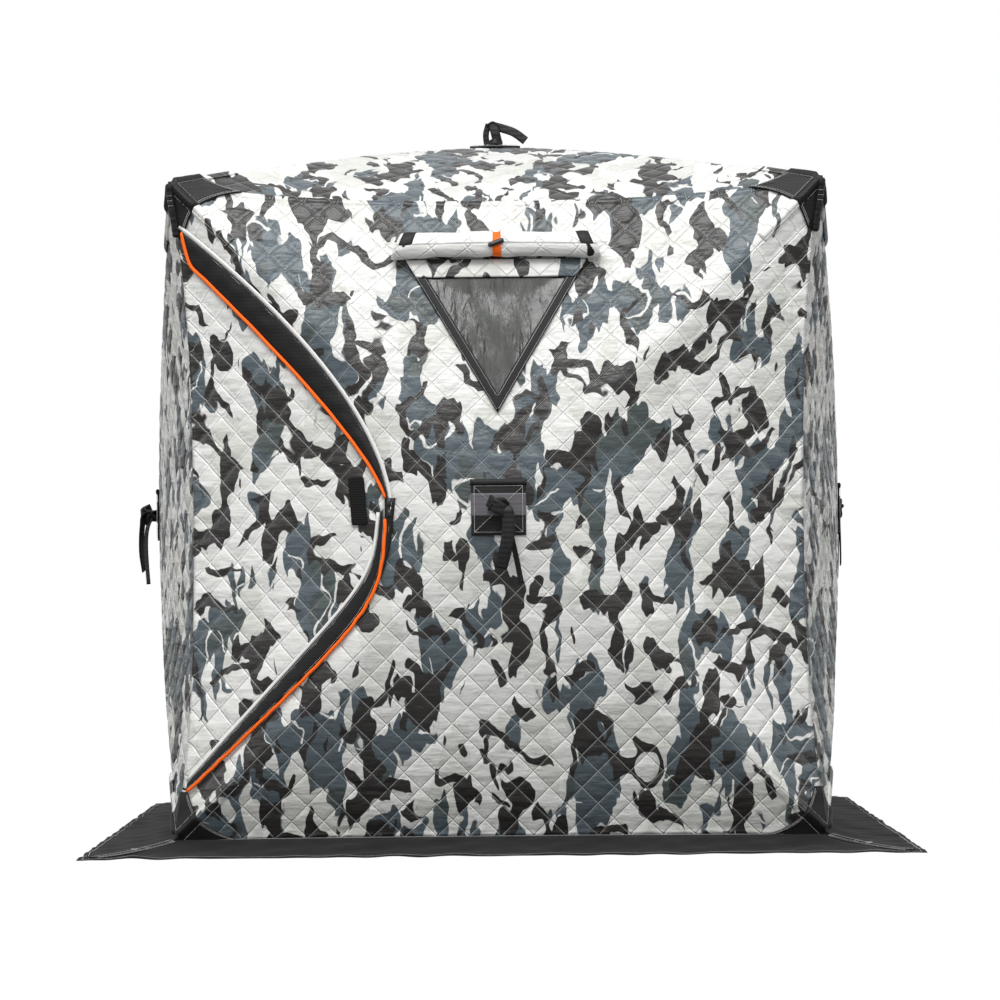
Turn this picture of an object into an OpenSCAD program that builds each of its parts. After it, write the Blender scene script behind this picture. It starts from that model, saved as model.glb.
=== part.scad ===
// Pop-up hub ice fishing hut: five quilted fabric faces, each pushed out by a central hub with four
// bowed poles to its corners, a curved side door, a rolled-up triangular window and a ground skirt.
// Millimetres. The origin is on the ground at the middle of the hut, +Z is up and the front is -Y.

/* [Shelter] */
// Width between the bottom corners, left to right
shelter_w = 1800; // [1450:10:2400]
// Depth between the bottom corners, front to back
shelter_d = 1800; // [1450:10:2400]
// Height of the wall fabric from its bottom edge to the top corners
wall_h = 1815; // [1500:5:2300]
// Height of the walls' bottom edge above the ground
ground_gap = 35; // [25:1:60]
// How far a wall's hub pushes it out
wall_bulge = 123; // [60:1:180]
// How far the roof's hub pushes it up
roof_bulge = 195; // [90:1:260]
// How far the seam between two faces pulls in, midway between corners
seam_sag = 53; // [20:1:80]
// How far the bottom edge pulls in, midway between corners
hem_sag = 45; // [15:1:70]
// Thickness of the quilted, insulated fabric
fabric_t = 6; // [4:0.5:12]

/* [Frame] */
// Diameter of a pole
pole_d = 11; // [8:0.5:14]
// How much a pole bows outwards, as a share of the bulge
pole_bow = 0.4; // [0.1:0.05:0.5]
// Diameter of a hub's disc
hub_d = 84; // [70:1:110]
// Thickness of a hub's disc
hub_t = 26; // [20:1:40]
// Outer diameter of the sockets on a hub and of the tips on the poles
socket_d = 20; // [18:0.5:26]
// Side of a corner foot under the walls
foot_w = 120; // [80:1:160]

/* [Skirt] */
// Width of the skirt round the walls
skirt_w = 247; // [150:1:350]
// Thickness of the skirt
skirt_t = 2; // [1:0.5:4]
// Width of a stitched corner tab
tab_w = 44; // [36:1:60]
// Bore of an eyelet
eyelet_bore = 10; // [8:0.5:14]
// Outer diameter of an eyelet's flange
eyelet_d = 20; // [18:0.5:26]
// Place of the eyelets, as a share of the skirt's width
eyelet_place = 0.42; // [0.3:0.02:0.6]

/* [Door] */
// Distance of the door's hinge line from the corner, across the face
hinge_inset = 65; // [55:1:90]
// Depth of the hinge line behind the corner plane
hinge_in = 22; // [10:1:40]
// Radius of the round welt on the hinge line
welt_r = 4; // [3:0.5:6]
// Gap between the door panel and the wall along the zip
door_gap = 5; // [5:0.5:8]
// How far the wall reaches past the piping line, under the piping
door_lap = 8; // [6:0.5:12]
// Radius of the piping
piping_r = 4; // [3:0.5:5]
// Width of the storm flaps beside the piping
flap_w = 44; // [30:1:60]
// Thickness of patches, flaps and bindings
trim_t = 2; // [1:0.5:3]

/* [Window] */
// Width of the window over its binding
window_w = 492; // [380:2:600]
// Height of the window over its binding
window_h = 419; // [320:2:500]
// Distance of the window's top edge below the wall's top corners
window_drop = 219.5; // [205:0.5:260]
// Width of the binding
binding_w = 26; // [20:1:34]
// Diameter of the rolled-up cover
roll_d = 62; // [50:1:70]
// Length of the rolled-up cover
roll_l = 505; // [420:1:620]

/* [Patches and straps] */
// Legs of a top corner patch
top_patch = 200; // [140:1:260]
// Legs of a bottom corner patch
bottom_patch = 165; // [120:1:220]
// Side of a hub patch
hub_patch = 150; // [120:1:180]
// Width of a pull strap
strap_w = 38; // [25:1:50]
// Length of a pull strap's hanging tail
strap_l = 165; // [100:5:220]

/* [Hidden] */
gap = 0.3;
skin_gap = 0.4;
sag_power = 2.6;
// Steps along a side of a face, rings from its hub to its rim, and points round the rim.
nt = 12;
nr = 6;
rim_n = 4 * nt;
half_w = shelter_w / 2;
half_d = shelter_d / 2;
half_h = wall_h / 2;
wall_mid = ground_gap + half_h;
wall_top = ground_gap + wall_h;

// Zip line on the front face: an upper curve from the hinge line to the apex and a lower one back.
hinge_out = half_w - hinge_inset;
zip_steps = 14;
zip_top = [-hinge_out, 0.736 * half_h];
zip_top_bend = [-0.808 * half_w, 0.618 * half_h];
zip_top_lead = [-0.406 * half_w, 0.223 * half_h];
zip_apex = [-0.344 * half_w, 0.033 * half_h];
zip_low_lead = [-0.353 * half_w, -0.29 * half_h];
zip_low_bend = [-0.334 * half_w, -0.268 * half_h];
zip_bottom = [-hinge_out, -0.821 * half_h];
// Width over which the door bends from its hinge line out to the face.
door_blend = 150;
door_lift = 1.3;
hinge_clear = 25;
jamb_u = -(hinge_out + welt_r + gap);
jamb_v = 0.82 * half_h;
door_from = -(hinge_out - welt_r - gap);
slider = [12, 24, 8];
grip = [44, 132];
grip_at = zip_apex + [-78, -7];
grip_turn = 4;

// Poles and hubs.
pole_gap = 0.5;
pole_sides = 8;
pole_rings = 9;
pole_in = 0.05;
pole_out = 0.955;
pole_dip = (socket_d - pole_d) / 2 + 3;
stem_r = 8;
stem_top = trim_t + 1.5 + gap;

// Skirt, tabs and eyelets.
skirt_steps = 4;
skirt_share = 0.9995;
tab_from = 0.06;
tab_to = 0.82;
eye_x = half_w + eyelet_place * skirt_w;
eye_y = half_d + eyelet_place * skirt_w;

// Corner webbing, straps, window and roll.
webbing_r = 6;
knot = [46, 42, 26];
strap_t = 5;
window_top = half_h - window_drop;
pane_t = 1;
binding_g = skin_gap + pane_t + skin_gap;
header_g = binding_g + skin_gap + trim_t;
header_h = 46;
roll_v = window_top + 10 + roll_d / 2;
roll_off = roll_d / 2 + trim_t + 1.5;
toggle = 12;

// A face is [half width, half height, bulge, sag of its lower edge up the face, sag of its lower
// edge inwards, whether its lower edge moves out with the layers].
front_face = [half_w, half_h, wall_bulge, 0, hem_sag, 0];
side_face = [half_d, half_h, wall_bulge, 0, hem_sag, 0];
roof_face = [half_w, half_d, roof_bulge, seam_sag, seam_sag, 1];

// Rise of a pole at r, from 1 at the hub (r = 0) to 0 at the corner (r = 1).
function rise(r) = (1 - r) + pole_bow * r * (1 - r);

// Share of the seam's sag at t, from 0 at the corners (t = -1 and 1) to 1 midway.
function sag(t) = 1 - pow(abs(t), sag_power);

// A point of a face: u to the right, v up and w outwards, seen from outside. g is the layer, in mm
// outside the face's outer surface, r runs from the hub to the rim, and s once round the rim from the
// lower left corner, a unit a side.
function face_pt(f, g, r, s) =
    let (side = floor(s) % 4, t = 2 * (s - floor(s)) - 1, q = sag(t) * r * r,
         hi = f[1] + g, lo = f[1] + g * f[5], wide = f[0] + g, w = g + f[2] * rise(r))
    side == 0 ? [wide * r * t, -(lo * r - f[3] * q), w - f[4] * q]
    : side == 1 ? [wide * r - seam_sag * q, (t > 0 ? hi : lo) * r * t, w - seam_sag * q]
    : side == 2 ? [-wide * r * t, hi * r - seam_sag * q, w - seam_sag * q]
    : [-(wide * r - seam_sag * q), (t < 0 ? hi : lo) * -r * t, w - seam_sag * q];

// A quad as two triangles, clockwise seen from outside the solid.
function quad(a, b, c, d) = [[a, b, c], [a, c, d]];
function flat(lists) = [for (l = lists) each l];

// Closed skin of a face between layers g0 and g1, out to r1.
module face_skin(f, g0, g1, r1 = 1) {
    m = 1 + nr * rim_n;
    sheet = function(g) concat([face_pt(f, g, 0, 0)],
        [for (i = [1:nr], j = [0:rim_n - 1]) face_pt(f, g, r1 * i / nr, j / nt)]);
    id = function(i, j) 1 + (i - 1) * rim_n + j % rim_n;
    polyhedron(concat(sheet(g1), sheet(g0)), concat(
        flat([for (j = [0:rim_n - 1]) [[0, id(1, j + 1), id(1, j)], [m, m + id(1, j), m + id(1, j + 1)]]]),
        flat([for (i = [1:nr - 1], j = [0:rim_n - 1]) concat(
            quad(id(i, j), id(i, j + 1), id(i + 1, j + 1), id(i + 1, j)),
            quad(m + id(i, j), m + id(i + 1, j), m + id(i + 1, j + 1), m + id(i, j + 1)))]),
        flat([for (j = [0:rim_n - 1]) quad(id(nr, j), id(nr, j + 1), m + id(nr, j + 1), m + id(nr, j))])));
}

// Closed grid solid from two sheets of points, each rows of equal length: top is seen from outside
// with its rows running up and its columns running left to right.
module grid_solid(top, under) {
    rows = len(top);
    cols = len(top[0]);
    m = rows * cols;
    id = function(i, j) i * cols + j;
    polyhedron(concat(flat(top), flat(under)), concat(
        flat([for (i = [0:rows - 2], j = [0:cols - 2]) concat(
            quad(id(i, j), id(i + 1, j), id(i + 1, j + 1), id(i, j + 1)),
            quad(m + id(i, j), m + id(i, j + 1), m + id(i + 1, j + 1), m + id(i + 1, j)))]),
        flat([for (i = [0:rows - 2]) concat(
            quad(id(i + 1, 0), id(i, 0), m + id(i, 0), m + id(i + 1, 0)),
            quad(id(i, cols - 1), id(i + 1, cols - 1), m + id(i + 1, cols - 1), m + id(i, cols - 1)))]),
        flat([for (j = [0:cols - 2]) concat(
            quad(id(0, j), id(0, j + 1), m + id(0, j + 1), m + id(0, j)),
            quad(id(rows - 1, j + 1), id(rows - 1, j), m + id(rows - 1, j), m + id(rows - 1, j + 1)))])));
}

// Tube of radius rad swept through pts, closed at both ends. Its rings stand across the path.
module swept_tube(pts, rad, sides) {
    last = len(pts) - 1;
    along = [for (i = [0:last]) let (d = pts[min(i + 1, last)] - pts[max(i - 1, 0)]) d / norm(d)];
    ring = function(i) let (d = along[i], s = cross(abs(d.z) < 0.9 ? [0, 0, 1] : [1, 0, 0], d),
        a = s / norm(s), b = cross(d, a))
        [for (k = [0:sides - 1]) pts[i] + rad * (cos(360 * k / sides) * a + sin(360 * k / sides) * b)];
    id = function(i, k) i * sides + k % sides;
    polyhedron(flat([for (i = [0:last]) ring(i)]), concat(
        flat([for (i = [0:last - 1], k = [0:sides - 1])
            quad(id(i, k), id(i + 1, k), id(i + 1, k + 1), id(i, k + 1))]),
        [[for (k = [0:sides - 1]) k], [for (k = [sides - 1:-1:0]) id(last, k)]]));
}

// A face's own frame put in its place.
module on_front() translate([0, -half_d, wall_mid]) rotate([90, 0, 0]) children();
module on_back() rotate([0, 0, 180]) on_front() children();
module on_left() rotate([0, 0, -90]) translate([0, -half_w, wall_mid]) rotate([90, 0, 0]) children();
module on_right() rotate([0, 0, 90]) translate([0, -half_w, wall_mid]) rotate([90, 0, 0]) children();
module on_roof() translate([0, 0, wall_top]) children();

// Prism of a flat outline, deep enough to cut through a whole face.
module deep(outline) translate([0, 0, -300]) linear_extrude(800) polygon(outline);

// Depth of the front face's outer surface at u and v in its side facets, by fixed-point steps on r.
function side_r(u, v, r, steps) = steps == 0 ? r
    : side_r(u, v, (abs(u) + seam_sag * r * r * sag(min(1, abs(v) / half_h / r))) / half_w, steps - 1);
function side_w(u, v) = let (r = side_r(u, v, abs(u) / half_w, 8))
    wall_bulge * rise(r) - seam_sag * r * r * sag(min(1, abs(v) / half_h / r));
// The same in its upper facet.
function top_r(u, v, r, steps) = steps == 0 ? r
    : top_r(u, v, (v + seam_sag * r * r * sag(min(1, abs(u) / half_w / r))) / half_h, steps - 1);
function top_w(u, v) = let (r = top_r(u, v, v / half_h, 8))
    wall_bulge * rise(r) - seam_sag * r * r * sag(min(1, abs(u) / half_w / r));

// Door outline: two cubic curves from the top of the hinge line to the apex and down to its foot.
function bezier(a, b, c, d, t) =
    pow(1 - t, 3) * a + 3 * pow(1 - t, 2) * t * b + 3 * (1 - t) * t * t * c + pow(t, 3) * d;
zip_upper = [for (i = [0:zip_steps]) bezier(zip_top, zip_top_bend, zip_top_lead, zip_apex, i / zip_steps)];
zip_lower = [for (i = [0:zip_steps]) bezier(zip_apex, zip_low_lead, zip_low_bend, zip_bottom, i / zip_steps)];
zip_line = concat(zip_upper, [for (i = [1:zip_steps]) zip_lower[i]]);

// A line moved sideways by d, to its left when walked from first to last.
function beside(line, d) = let (last = len(line) - 1)
    [for (i = [0:last]) let (e = line[min(i + 1, last)] - line[max(i - 1, 0)])
        line[i] + d * [-e.y, e.x] / norm(e)];
// Outline of a strip between two lines.
function strip(a, b) = concat(a, [for (i = [len(b) - 1:-1:0]) b[i]]);
function reversed(line) = [for (i = [len(line) - 1:-1:0]) line[i]];

door_edge = beside(zip_line, -(door_lap + door_gap));
wall_edge = beside(zip_line, -door_lap);

// A line cut off where it is left of u.
function clipped(line, u) = flat([for (i = [0:len(line) - 1])
    let (p = line[i], q = line[min(i + 1, len(line) - 1)])
    concat(p.x > u ? [p] : [], (p.x > u) != (q.x > u) ? [p + (q - p) * (u - p.x) / (q.x - p.x)] : [])]);

module door_opening() {
    inner = clipped(wall_edge, jamb_u + gap);
    deep(concat([[jamb_u, inner[0].y]], inner, [[jamb_u, inner[len(inner) - 1].y]]));
}

// Strip of wall between the corner seam and the straight hinge line, a seam's gap from its neighbours.
module jamb() {
    end = (1 - (jamb_v - gap) / half_h) / 2;
    // Rows from the lower end of the hinge line to the upper, each from the seam to the hinge line.
    rows = concat([4 - end], [for (j = [1:nt - 1]) if (j / nt > end && j / nt < 1 - end) 4 - j / nt],
        [3 + end]);
    side = function(g, w) [for (s = rows) let (p = face_pt(front_face, g, 1, s), v = (7 - 2 * s) * half_h)
        [[p.x + gap, v, p.z], [jamb_u, v, w]]];
    grid_solid(side(0, -hinge_in + 0.5), side(-fabric_t, -hinge_in + 0.5 - fabric_t));
}

// Inverted triangle of the window, moved in by d from the binding's outer edge.
function window_outline(d) =
    let (side = norm([window_w / 2, window_h]), slope = (side + window_w / 2) / window_h,
         half = window_w / 2 - d * slope)
    [[-half, window_top - d], [half, window_top - d],
     [0, window_top - window_h + d * side / (window_w / 2)]];

module front_wall() color("#E8E8E4") on_front() {
    difference() {
        face_skin(front_face, -fabric_t, 0);
        deep([[-half_w - 50, -jamb_v], [jamb_u, -jamb_v], [jamb_u, jamb_v], [-half_w - 50, jamb_v]]);
        door_opening();
        deep(window_outline(binding_w / 2));
        hub_hole();
    }
    jamb();
}
module back_wall() color("#E8E8E4") on_back() plain_face(front_face);
module left_wall() color("#E8E8E4") on_left() plain_face(side_face);
module right_wall() color("#E8E8E4") on_right() plain_face(side_face);
module roof() color("#E8E8E4") on_roof() plain_face(roof_face);
module plain_face(f) difference() {
    face_skin(f, -fabric_t, 0);
    hub_hole();
}

// Hole for a hub's stem, through a wall or a patch.
module hub_hole() translate([0, 0, -100]) cylinder(r = stem_r + gap, h = 500, $fn = 32);

// Skirt: it falls from the wall's bottom edge in an easing curve and lies out flat.
module skirt(f) {
    at = function(i, j, lift) let (k = i / skirt_steps, s = j / nt, p = face_pt(f, gap, 1, s),
        out = [(f[0] + skirt_w) * (2 * s - 1) * skirt_share, 0, skirt_w],
        fall = (ground_gap - gap - skirt_t) * pow(1 - k, 2))
        [p.x * skirt_share + (out.x - p.x * skirt_share) * k, fall + lift, p.z + (out.z - p.z) * k];
    // Rows from the wall outwards, in the face's frame with v as height above the ground.
    sheet = function(lift) [for (i = [skirt_steps:-1:0]) [for (j = [0:nt]) at(i, j, lift)]];
    difference() {
        translate([0, -wall_mid, 0]) grid_solid(sheet(skirt_t), sheet(0));
        for (side = [-1, 1])
            translate([side * (f[0] + eyelet_place * skirt_w), 0, eyelet_place * skirt_w])
                rotate([90, 0, 0]) cylinder(d = eyelet_bore + 5, h = 3 * wall_h, center = true, $fn = 32);
    }
}
module skirt_front() color("#232325") on_front() skirt(front_face);
module skirt_back() color("#232325") on_back() skirt(front_face);
module skirt_left() color("#232325") on_left() skirt(side_face);
module skirt_right() color("#232325") on_right() skirt(side_face);

// A child drawn for the right front corner, at all four corners.
module corners() for (x = [0, 1], y = [0, 1]) mirror([x, 0, 0]) mirror([0, y, 0]) children();

function skirt_top(k) = (ground_gap - gap - skirt_t) * pow(1 - k, 2) + skirt_t;

// Reinforcing tab along the skirt's mitre, folded over its ridge.
module corner_tab() {
    turn = 1 / sqrt(2);
    at = function(k, side, lift) let (half = tab_w / 2 * turn, over = k * skirt_w)
        [half_w + over + side * half, -half_d - over + side * half,
         skirt_top(k + abs(side) * half / skirt_w) + lift];
    ks = [for (i = [0:4]) tab_from + (tab_to - tab_from) * i / 4];
    sheet = function(lift) [for (k = ks) [for (side = [1, 0, -1]) at(k, side, lift)]];
    difference() {
        grid_solid(sheet(gap + trim_t + 1), sheet(gap + 1));
        translate([eye_x, -eye_y, 0]) cylinder(d = eyelet_bore + 5, h = 200, center = true, $fn = 32);
    }
}
module skirt_corner_tabs() color("#2A2A2C") corners() corner_tab();

eyelet_z = skirt_top(eyelet_place) + 1 + gap + trim_t + 2;
module skirt_eyelets() color("silver") corners() translate([eye_x, -eye_y, 0]) difference() {
    union() {
        translate([0, 0, eyelet_z]) cylinder(d = eyelet_d, h = 1.5, $fn = 48);
        translate([0, 0, skirt_top(eyelet_place) - 4])
            cylinder(d = eyelet_bore + 4, h = eyelet_z - skirt_top(eyelet_place) + 4.5, $fn = 48);
    }
    translate([0, 0, -1]) cylinder(d = eyelet_bore, h = 200, $fn = 48);
}

// Curved corner outline: it runs in from the corner by leg across the face and by up along its side.
function patch_outline(f, leg, up, sx, sy) =
    let (curve = [for (i = [0:6])
        bezier([leg, 0], [leg * 0.65, up * 0.12], [leg * 0.33, up * 0.4], [leg * 0.12, up], i / 6)])
    [for (p = concat([[-60, -60], [leg, -60]], curve, [[-60, up]])) [sx * (f[0] - p.x), sy * (f[1] - p.y)]];
module corner_skin(f, leg, up, sy) intersection() {
    face_skin(f, skin_gap, skin_gap + trim_t, 1 - gap / f[0]);
    for (sx = [-1, 1]) deep(patch_outline(f, leg, up, sx, sy));
}
module top_corner_patches() color("#232325") {
    on_front() corner_skin(front_face, top_patch, top_patch * 0.7, 1);
    on_back() corner_skin(front_face, top_patch, top_patch * 0.7, 1);
    on_left() corner_skin(side_face, top_patch, top_patch * 0.7, 1);
    on_right() corner_skin(side_face, top_patch, top_patch * 0.7, 1);
    on_roof() for (sy = [-1, 1]) corner_skin(roof_face, top_patch, top_patch, sy);
}
module bottom_corner_patches() color("#232325") {
    on_front() corner_skin(front_face, bottom_patch, bottom_patch * 0.8, -1);
    on_back() corner_skin(front_face, bottom_patch, bottom_patch * 0.8, -1);
    on_left() corner_skin(side_face, bottom_patch, bottom_patch * 0.8, -1);
    on_right() corner_skin(side_face, bottom_patch, bottom_patch * 0.8, -1);
}

// Webbing tube down the seam below each top corner, over its uppermost step.
module corner_webbing() color("#2A2A2C") corners() {
    off = skin_gap + trim_t + (webbing_r + gap / 2) / sqrt(2);
    swept_tube([for (t = [0.995, 1 - 2 / nt]) let (q = seam_sag * sag(t))
        [half_w - q + off, -(half_d - q + off), wall_mid + half_h * t]], webbing_r, pole_sides);
}

// Foot under each bottom corner: it carries the corner and the tips of the two poles that end there.
module corner_feet() color("#2B2B2D") corners() translate([half_w, -half_d, 0])
    linear_extrude(ground_gap - gap) polygon(concat([for (k = [0:3]) [-foot_w * k / 3, hem_sag * sag(1 - foot_w * k / 3 / half_w) + 2 * gap]],
        [for (k = [3:-1:1]) [-hem_sag * sag(1 - foot_w * k / 3 / half_d) - 2 * gap, foot_w * k / 3]]));

// A point on the axis of the pole that runs to corner s. The pole lies under the fabric, and dips by
// pole_dip to reach its socket.
function pole_pt(f, r, s) =
    let (g = -(fabric_t + pole_gap + pole_d / 2 + pole_dip * pow(max(0, 1 - r / 0.4), 2)),
         p = face_pt(f, 0, r, s))
    [p.x * (1 + g / f[0]), p.y * (1 + g / f[1]), p.z + g];

// Children turned so that their z axis points along each pole as it leaves the hub, from its end.
module at_sockets(f) for (s = [0:3]) {
    p = pole_pt(f, pole_in, s);
    d = pole_pt(f, pole_in + 0.02, s) - p;
    translate(p) rotate([0, acos(d.z / norm(d)), atan2(d.y, d.x)]) children();
}

// Hub: a disc with a stem through the fabric and four sockets along the diagonals.
module hub(f) {
    edge = hub_d / 2 / min(f[0], f[1]);
    top = f[2] * (1 - (1 - rise(1 / nr)) * nr * edge) - fabric_t - pole_gap - 1;
    difference() {
        union() {
            translate([0, 0, top - hub_t]) cylinder(d = hub_d, h = hub_t, $fn = 48);
            translate([0, 0, top - 1]) cylinder(r = stem_r, h = f[2] + trim_t + 1.5 - top + 1, $fn = 32);
            at_sockets(f) translate([0, 0, -30]) cylinder(d = socket_d, h = 60, $fn = 32);
        }
        at_sockets(f) translate([0, 0, -gap]) cylinder(d = pole_d + 2 * gap, h = 120, $fn = 32);
    }
}
module hub_front() color("#1E1E20") on_front() hub(front_face);
module hub_back() color("#1E1E20") on_back() hub(front_face);
module hub_left() color("#1E1E20") on_left() hub(side_face);
module hub_right() color("#1E1E20") on_right() hub(side_face);
module hub_roof() color("#1E1E20") on_roof() hub(roof_face);

// Four bowed poles under a face's diagonals, from the hub's sockets to the corners.
module poles(f) for (s = [0:3])
    swept_tube([for (i = [0:pole_rings - 1])
        pole_pt(f, pole_in + (pole_out - pole_in) * i / (pole_rings - 1), s)], pole_d / 2, pole_sides);
module poles_front() color("#C9CCCF") on_front() poles(front_face);
module poles_back() color("#C9CCCF") on_back() poles(front_face);
module poles_left() color("#C9CCCF") on_left() poles(side_face);
module poles_right() color("#C9CCCF") on_right() poles(side_face);
module poles_roof() color("#C9CCCF") on_roof() poles(roof_face);

// Square patch round each hub's stem.
module hub_patch_skin(f) difference() {
    intersection() {
        face_skin(f, skin_gap, skin_gap + trim_t);
        translate([-hub_patch / 2, -hub_patch / 2, -300]) cube([hub_patch, hub_patch, 800]);
    }
    hub_hole();
}
module hub_patches() color("#2A2A2C") {
    on_front() hub_patch_skin(front_face);
    on_back() hub_patch_skin(front_face);
    on_left() hub_patch_skin(side_face);
    on_right() hub_patch_skin(side_face);
    on_roof() hub_patch_skin(roof_face);
}

// Pull strap: a knot on the hub's stem and a tail that hangs down.
module pull_strap(f) translate([0, 0, f[2] + stem_top]) {
    translate([-knot.x / 2, -knot.y / 2, 0]) cube(knot);
    translate([-strap_w / 2, -strap_l, 6]) cube([strap_w, strap_l, strap_t * 2]);
}
module pull_strap_front() color("#1C1C1E") on_front() pull_strap(front_face);
module pull_strap_back() color("#1C1C1E") on_back() pull_strap(front_face);
module pull_strap_left() color("#1C1C1E") on_left() pull_strap(side_face);
module pull_strap_right() color("#1C1C1E") on_right() pull_strap(side_face);
module pull_strap_roof() color("#1C1C1E") on_roof() translate([0, 0, roof_bulge + stem_top]) {
    translate([-knot.x / 2, -knot.y / 2, 0]) cube([knot.x, knot.y, 18]);
    translate([-20, -strap_w / 2, 0]) cube([strap_t * 4, strap_w, 68]);
    translate([-20, -strap_w / 2, 40]) cube([95, strap_w, strap_t]);
}

// Window: clear pane over the hole, its binding, header strip and the rolled-up cover above it.
module window_pane() color("#50555A", 0.7) on_front() intersection() {
    face_skin(front_face, skin_gap, skin_gap + pane_t);
    deep(window_outline(binding_w / 2 - 8));
}
module window_binding() color("#1C1C1E") on_front() intersection() {
    face_skin(front_face, binding_g, binding_g + trim_t);
    difference() {
        deep(window_outline(0));
        deep(window_outline(binding_w));
    }
}
module window_header() color("#E8E8E4") on_front() intersection() {
    face_skin(front_face, header_g, header_g + trim_t);
    difference() {
        deep(window_outline(4));
        deep([[-half_w, window_top - header_h], [-half_w, -half_h],
            [half_w, -half_h], [half_w, window_top - header_h]]);
    }
}

roll_tilt = atan((top_w(0, roll_v - 20) - top_w(0, roll_v + 20)) / 40);
module at_roll() on_front() translate([0, roll_v, top_w(0, roll_v)]) rotate([-roll_tilt, 0, 0])
    translate([0, 0, roll_off]) rotate([0, 90, 0]) children();
module window_cover_roll() color("#E8E8E4") at_roll()
    cylinder(d = roll_d, h = roll_l, center = true, $fn = 48);
module roll_strap() color("#FF6A13") at_roll() difference() {
    cylinder(r = roll_d / 2 + gap + trim_t, h = 22, center = true, $fn = 48);
    cylinder(r = roll_d / 2 + gap, h = 40, center = true, $fn = 48);
}
module roll_toggle() color("#1C1C1E") at_roll()
    translate([-(roll_d / 2 + trim_t + 2 * gap + toggle / 2), 0, 0])
        rotate([20, 0, 0]) cube([toggle, toggle, 42], center = true);

// Storm flap on the wall above the door's zip, and the piping along its edge.
module upper_flap() color("#1C1C1E") on_front() intersection() {
    face_skin(front_face, skin_gap, skin_gap + trim_t);
    deep(strip(beside(zip_upper, flap_w), beside(zip_upper, piping_r + gap)));
}
function on_side(line, lift) = [for (p = line) [p.x, p.y, side_w(p.x, p.y) + lift]];
module upper_piping() color("#FF6A13") on_front()
    swept_tube(on_side(zip_upper, piping_r + 1.2), piping_r, pole_sides);
module zip_sliders() color("#1C1C1E") on_front()
    for (v = [zip_apex.y - 6 - slider.y, zip_apex.y - 10 - 2 * slider.y])
        translate([zip_apex.x + piping_r, v, side_w(zip_apex.x + piping_r + slider.x, v) + 0.6]) cube(slider);

// Door: a panel from the straight hinge line to the zip, with its welt, lower flap and piping.
function door_w(u, v) = side_w(u, v)
    + (-hinge_in - side_w(-hinge_out, v)) * pow(max(0, 1 - (u + hinge_out) / door_blend), 2);
module door_panel() color("#D8D8D4") on_front() {
    rows = clipped(reversed(door_edge), door_from + 8);
    cols = 8;
    sheet = function(lift) [for (p = rows) [for (j = [0:cols])
        let (u = door_from + (p.x - door_from) * pow(j / cols, 1.2)) [u, p.y, door_w(u, p.y) + lift]]];
    grid_solid(sheet(0), sheet(-fabric_t));
}
module door_welt() color("#D8D8D4") on_front()
    translate([-hinge_out, zip_bottom.y + hinge_clear, -hinge_in]) rotate([-90, 0, 0])
        cylinder(r = welt_r, h = zip_top.y - zip_bottom.y - 2 * hinge_clear, $fn = 32);
module door_flap() color("#1C1C1E") on_front() {
    a = beside(zip_lower, -(flap_w + 4));
    b = beside(zip_lower, -piping_r);
    rows = [for (i = [zip_steps - 2:-1:1]) i];
    sheet = function(lift) [for (i = rows) [for (j = [0:3])
        let (p = a[i] + (b[i] - a[i]) * j / 3) [p.x, p.y, door_w(p.x, p.y) + lift]]];
    grid_solid(sheet(door_lift + trim_t), sheet(door_lift));
}
module door_piping() color("#FF6A13") on_front()
    swept_tube([for (i = [1:zip_steps - 1]) let (p = zip_lower[i])
        [p.x, p.y, door_w(p.x, p.y) + piping_r + 1.2]], piping_r, pole_sides);
module door_grip_tab() color("#1C1C1E") on_front() {
    sheet = function(lift) [for (v = [-0.5:0.25:0.5]) [for (u = [-0.5:0.25:0.5])
        let (p = grip_at + [grip.x * u - grip.y * v * sin(grip_turn), grip.y * v])
            [p.x, p.y, door_w(p.x, p.y) + lift]]];
    grid_solid(sheet(0.8 + trim_t), sheet(0.8));
}

front_wall();
back_wall();
left_wall();
right_wall();
roof();
skirt_front();
skirt_back();
skirt_left();
skirt_right();
skirt_corner_tabs();
skirt_eyelets();
top_corner_patches();
bottom_corner_patches();
corner_webbing();
corner_feet();
hub_front();
hub_back();
hub_left();
hub_right();
hub_roof();
poles_front();
poles_back();
poles_left();
poles_right();
poles_roof();
hub_patches();
pull_strap_front();
pull_strap_back();
pull_strap_left();
pull_strap_right();
pull_strap_roof();
window_pane();
window_binding();
window_header();
window_cover_roll();
roll_strap();
roll_toggle();
upper_flap();
upper_piping();
zip_sliders();
door_panel();
door_welt();
door_flap();
door_piping();
door_grip_tab();
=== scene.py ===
"""Pop-up hub ice fishing hut: quilted snow-camouflage walls and roof pushed out by hubs and poles, a
curved zipped side door, a triangular window with its rolled cover, corner patches and a ground skirt.
Metres, Z up, front towards -Y."""
import math
from collections import namedtuple

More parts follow.
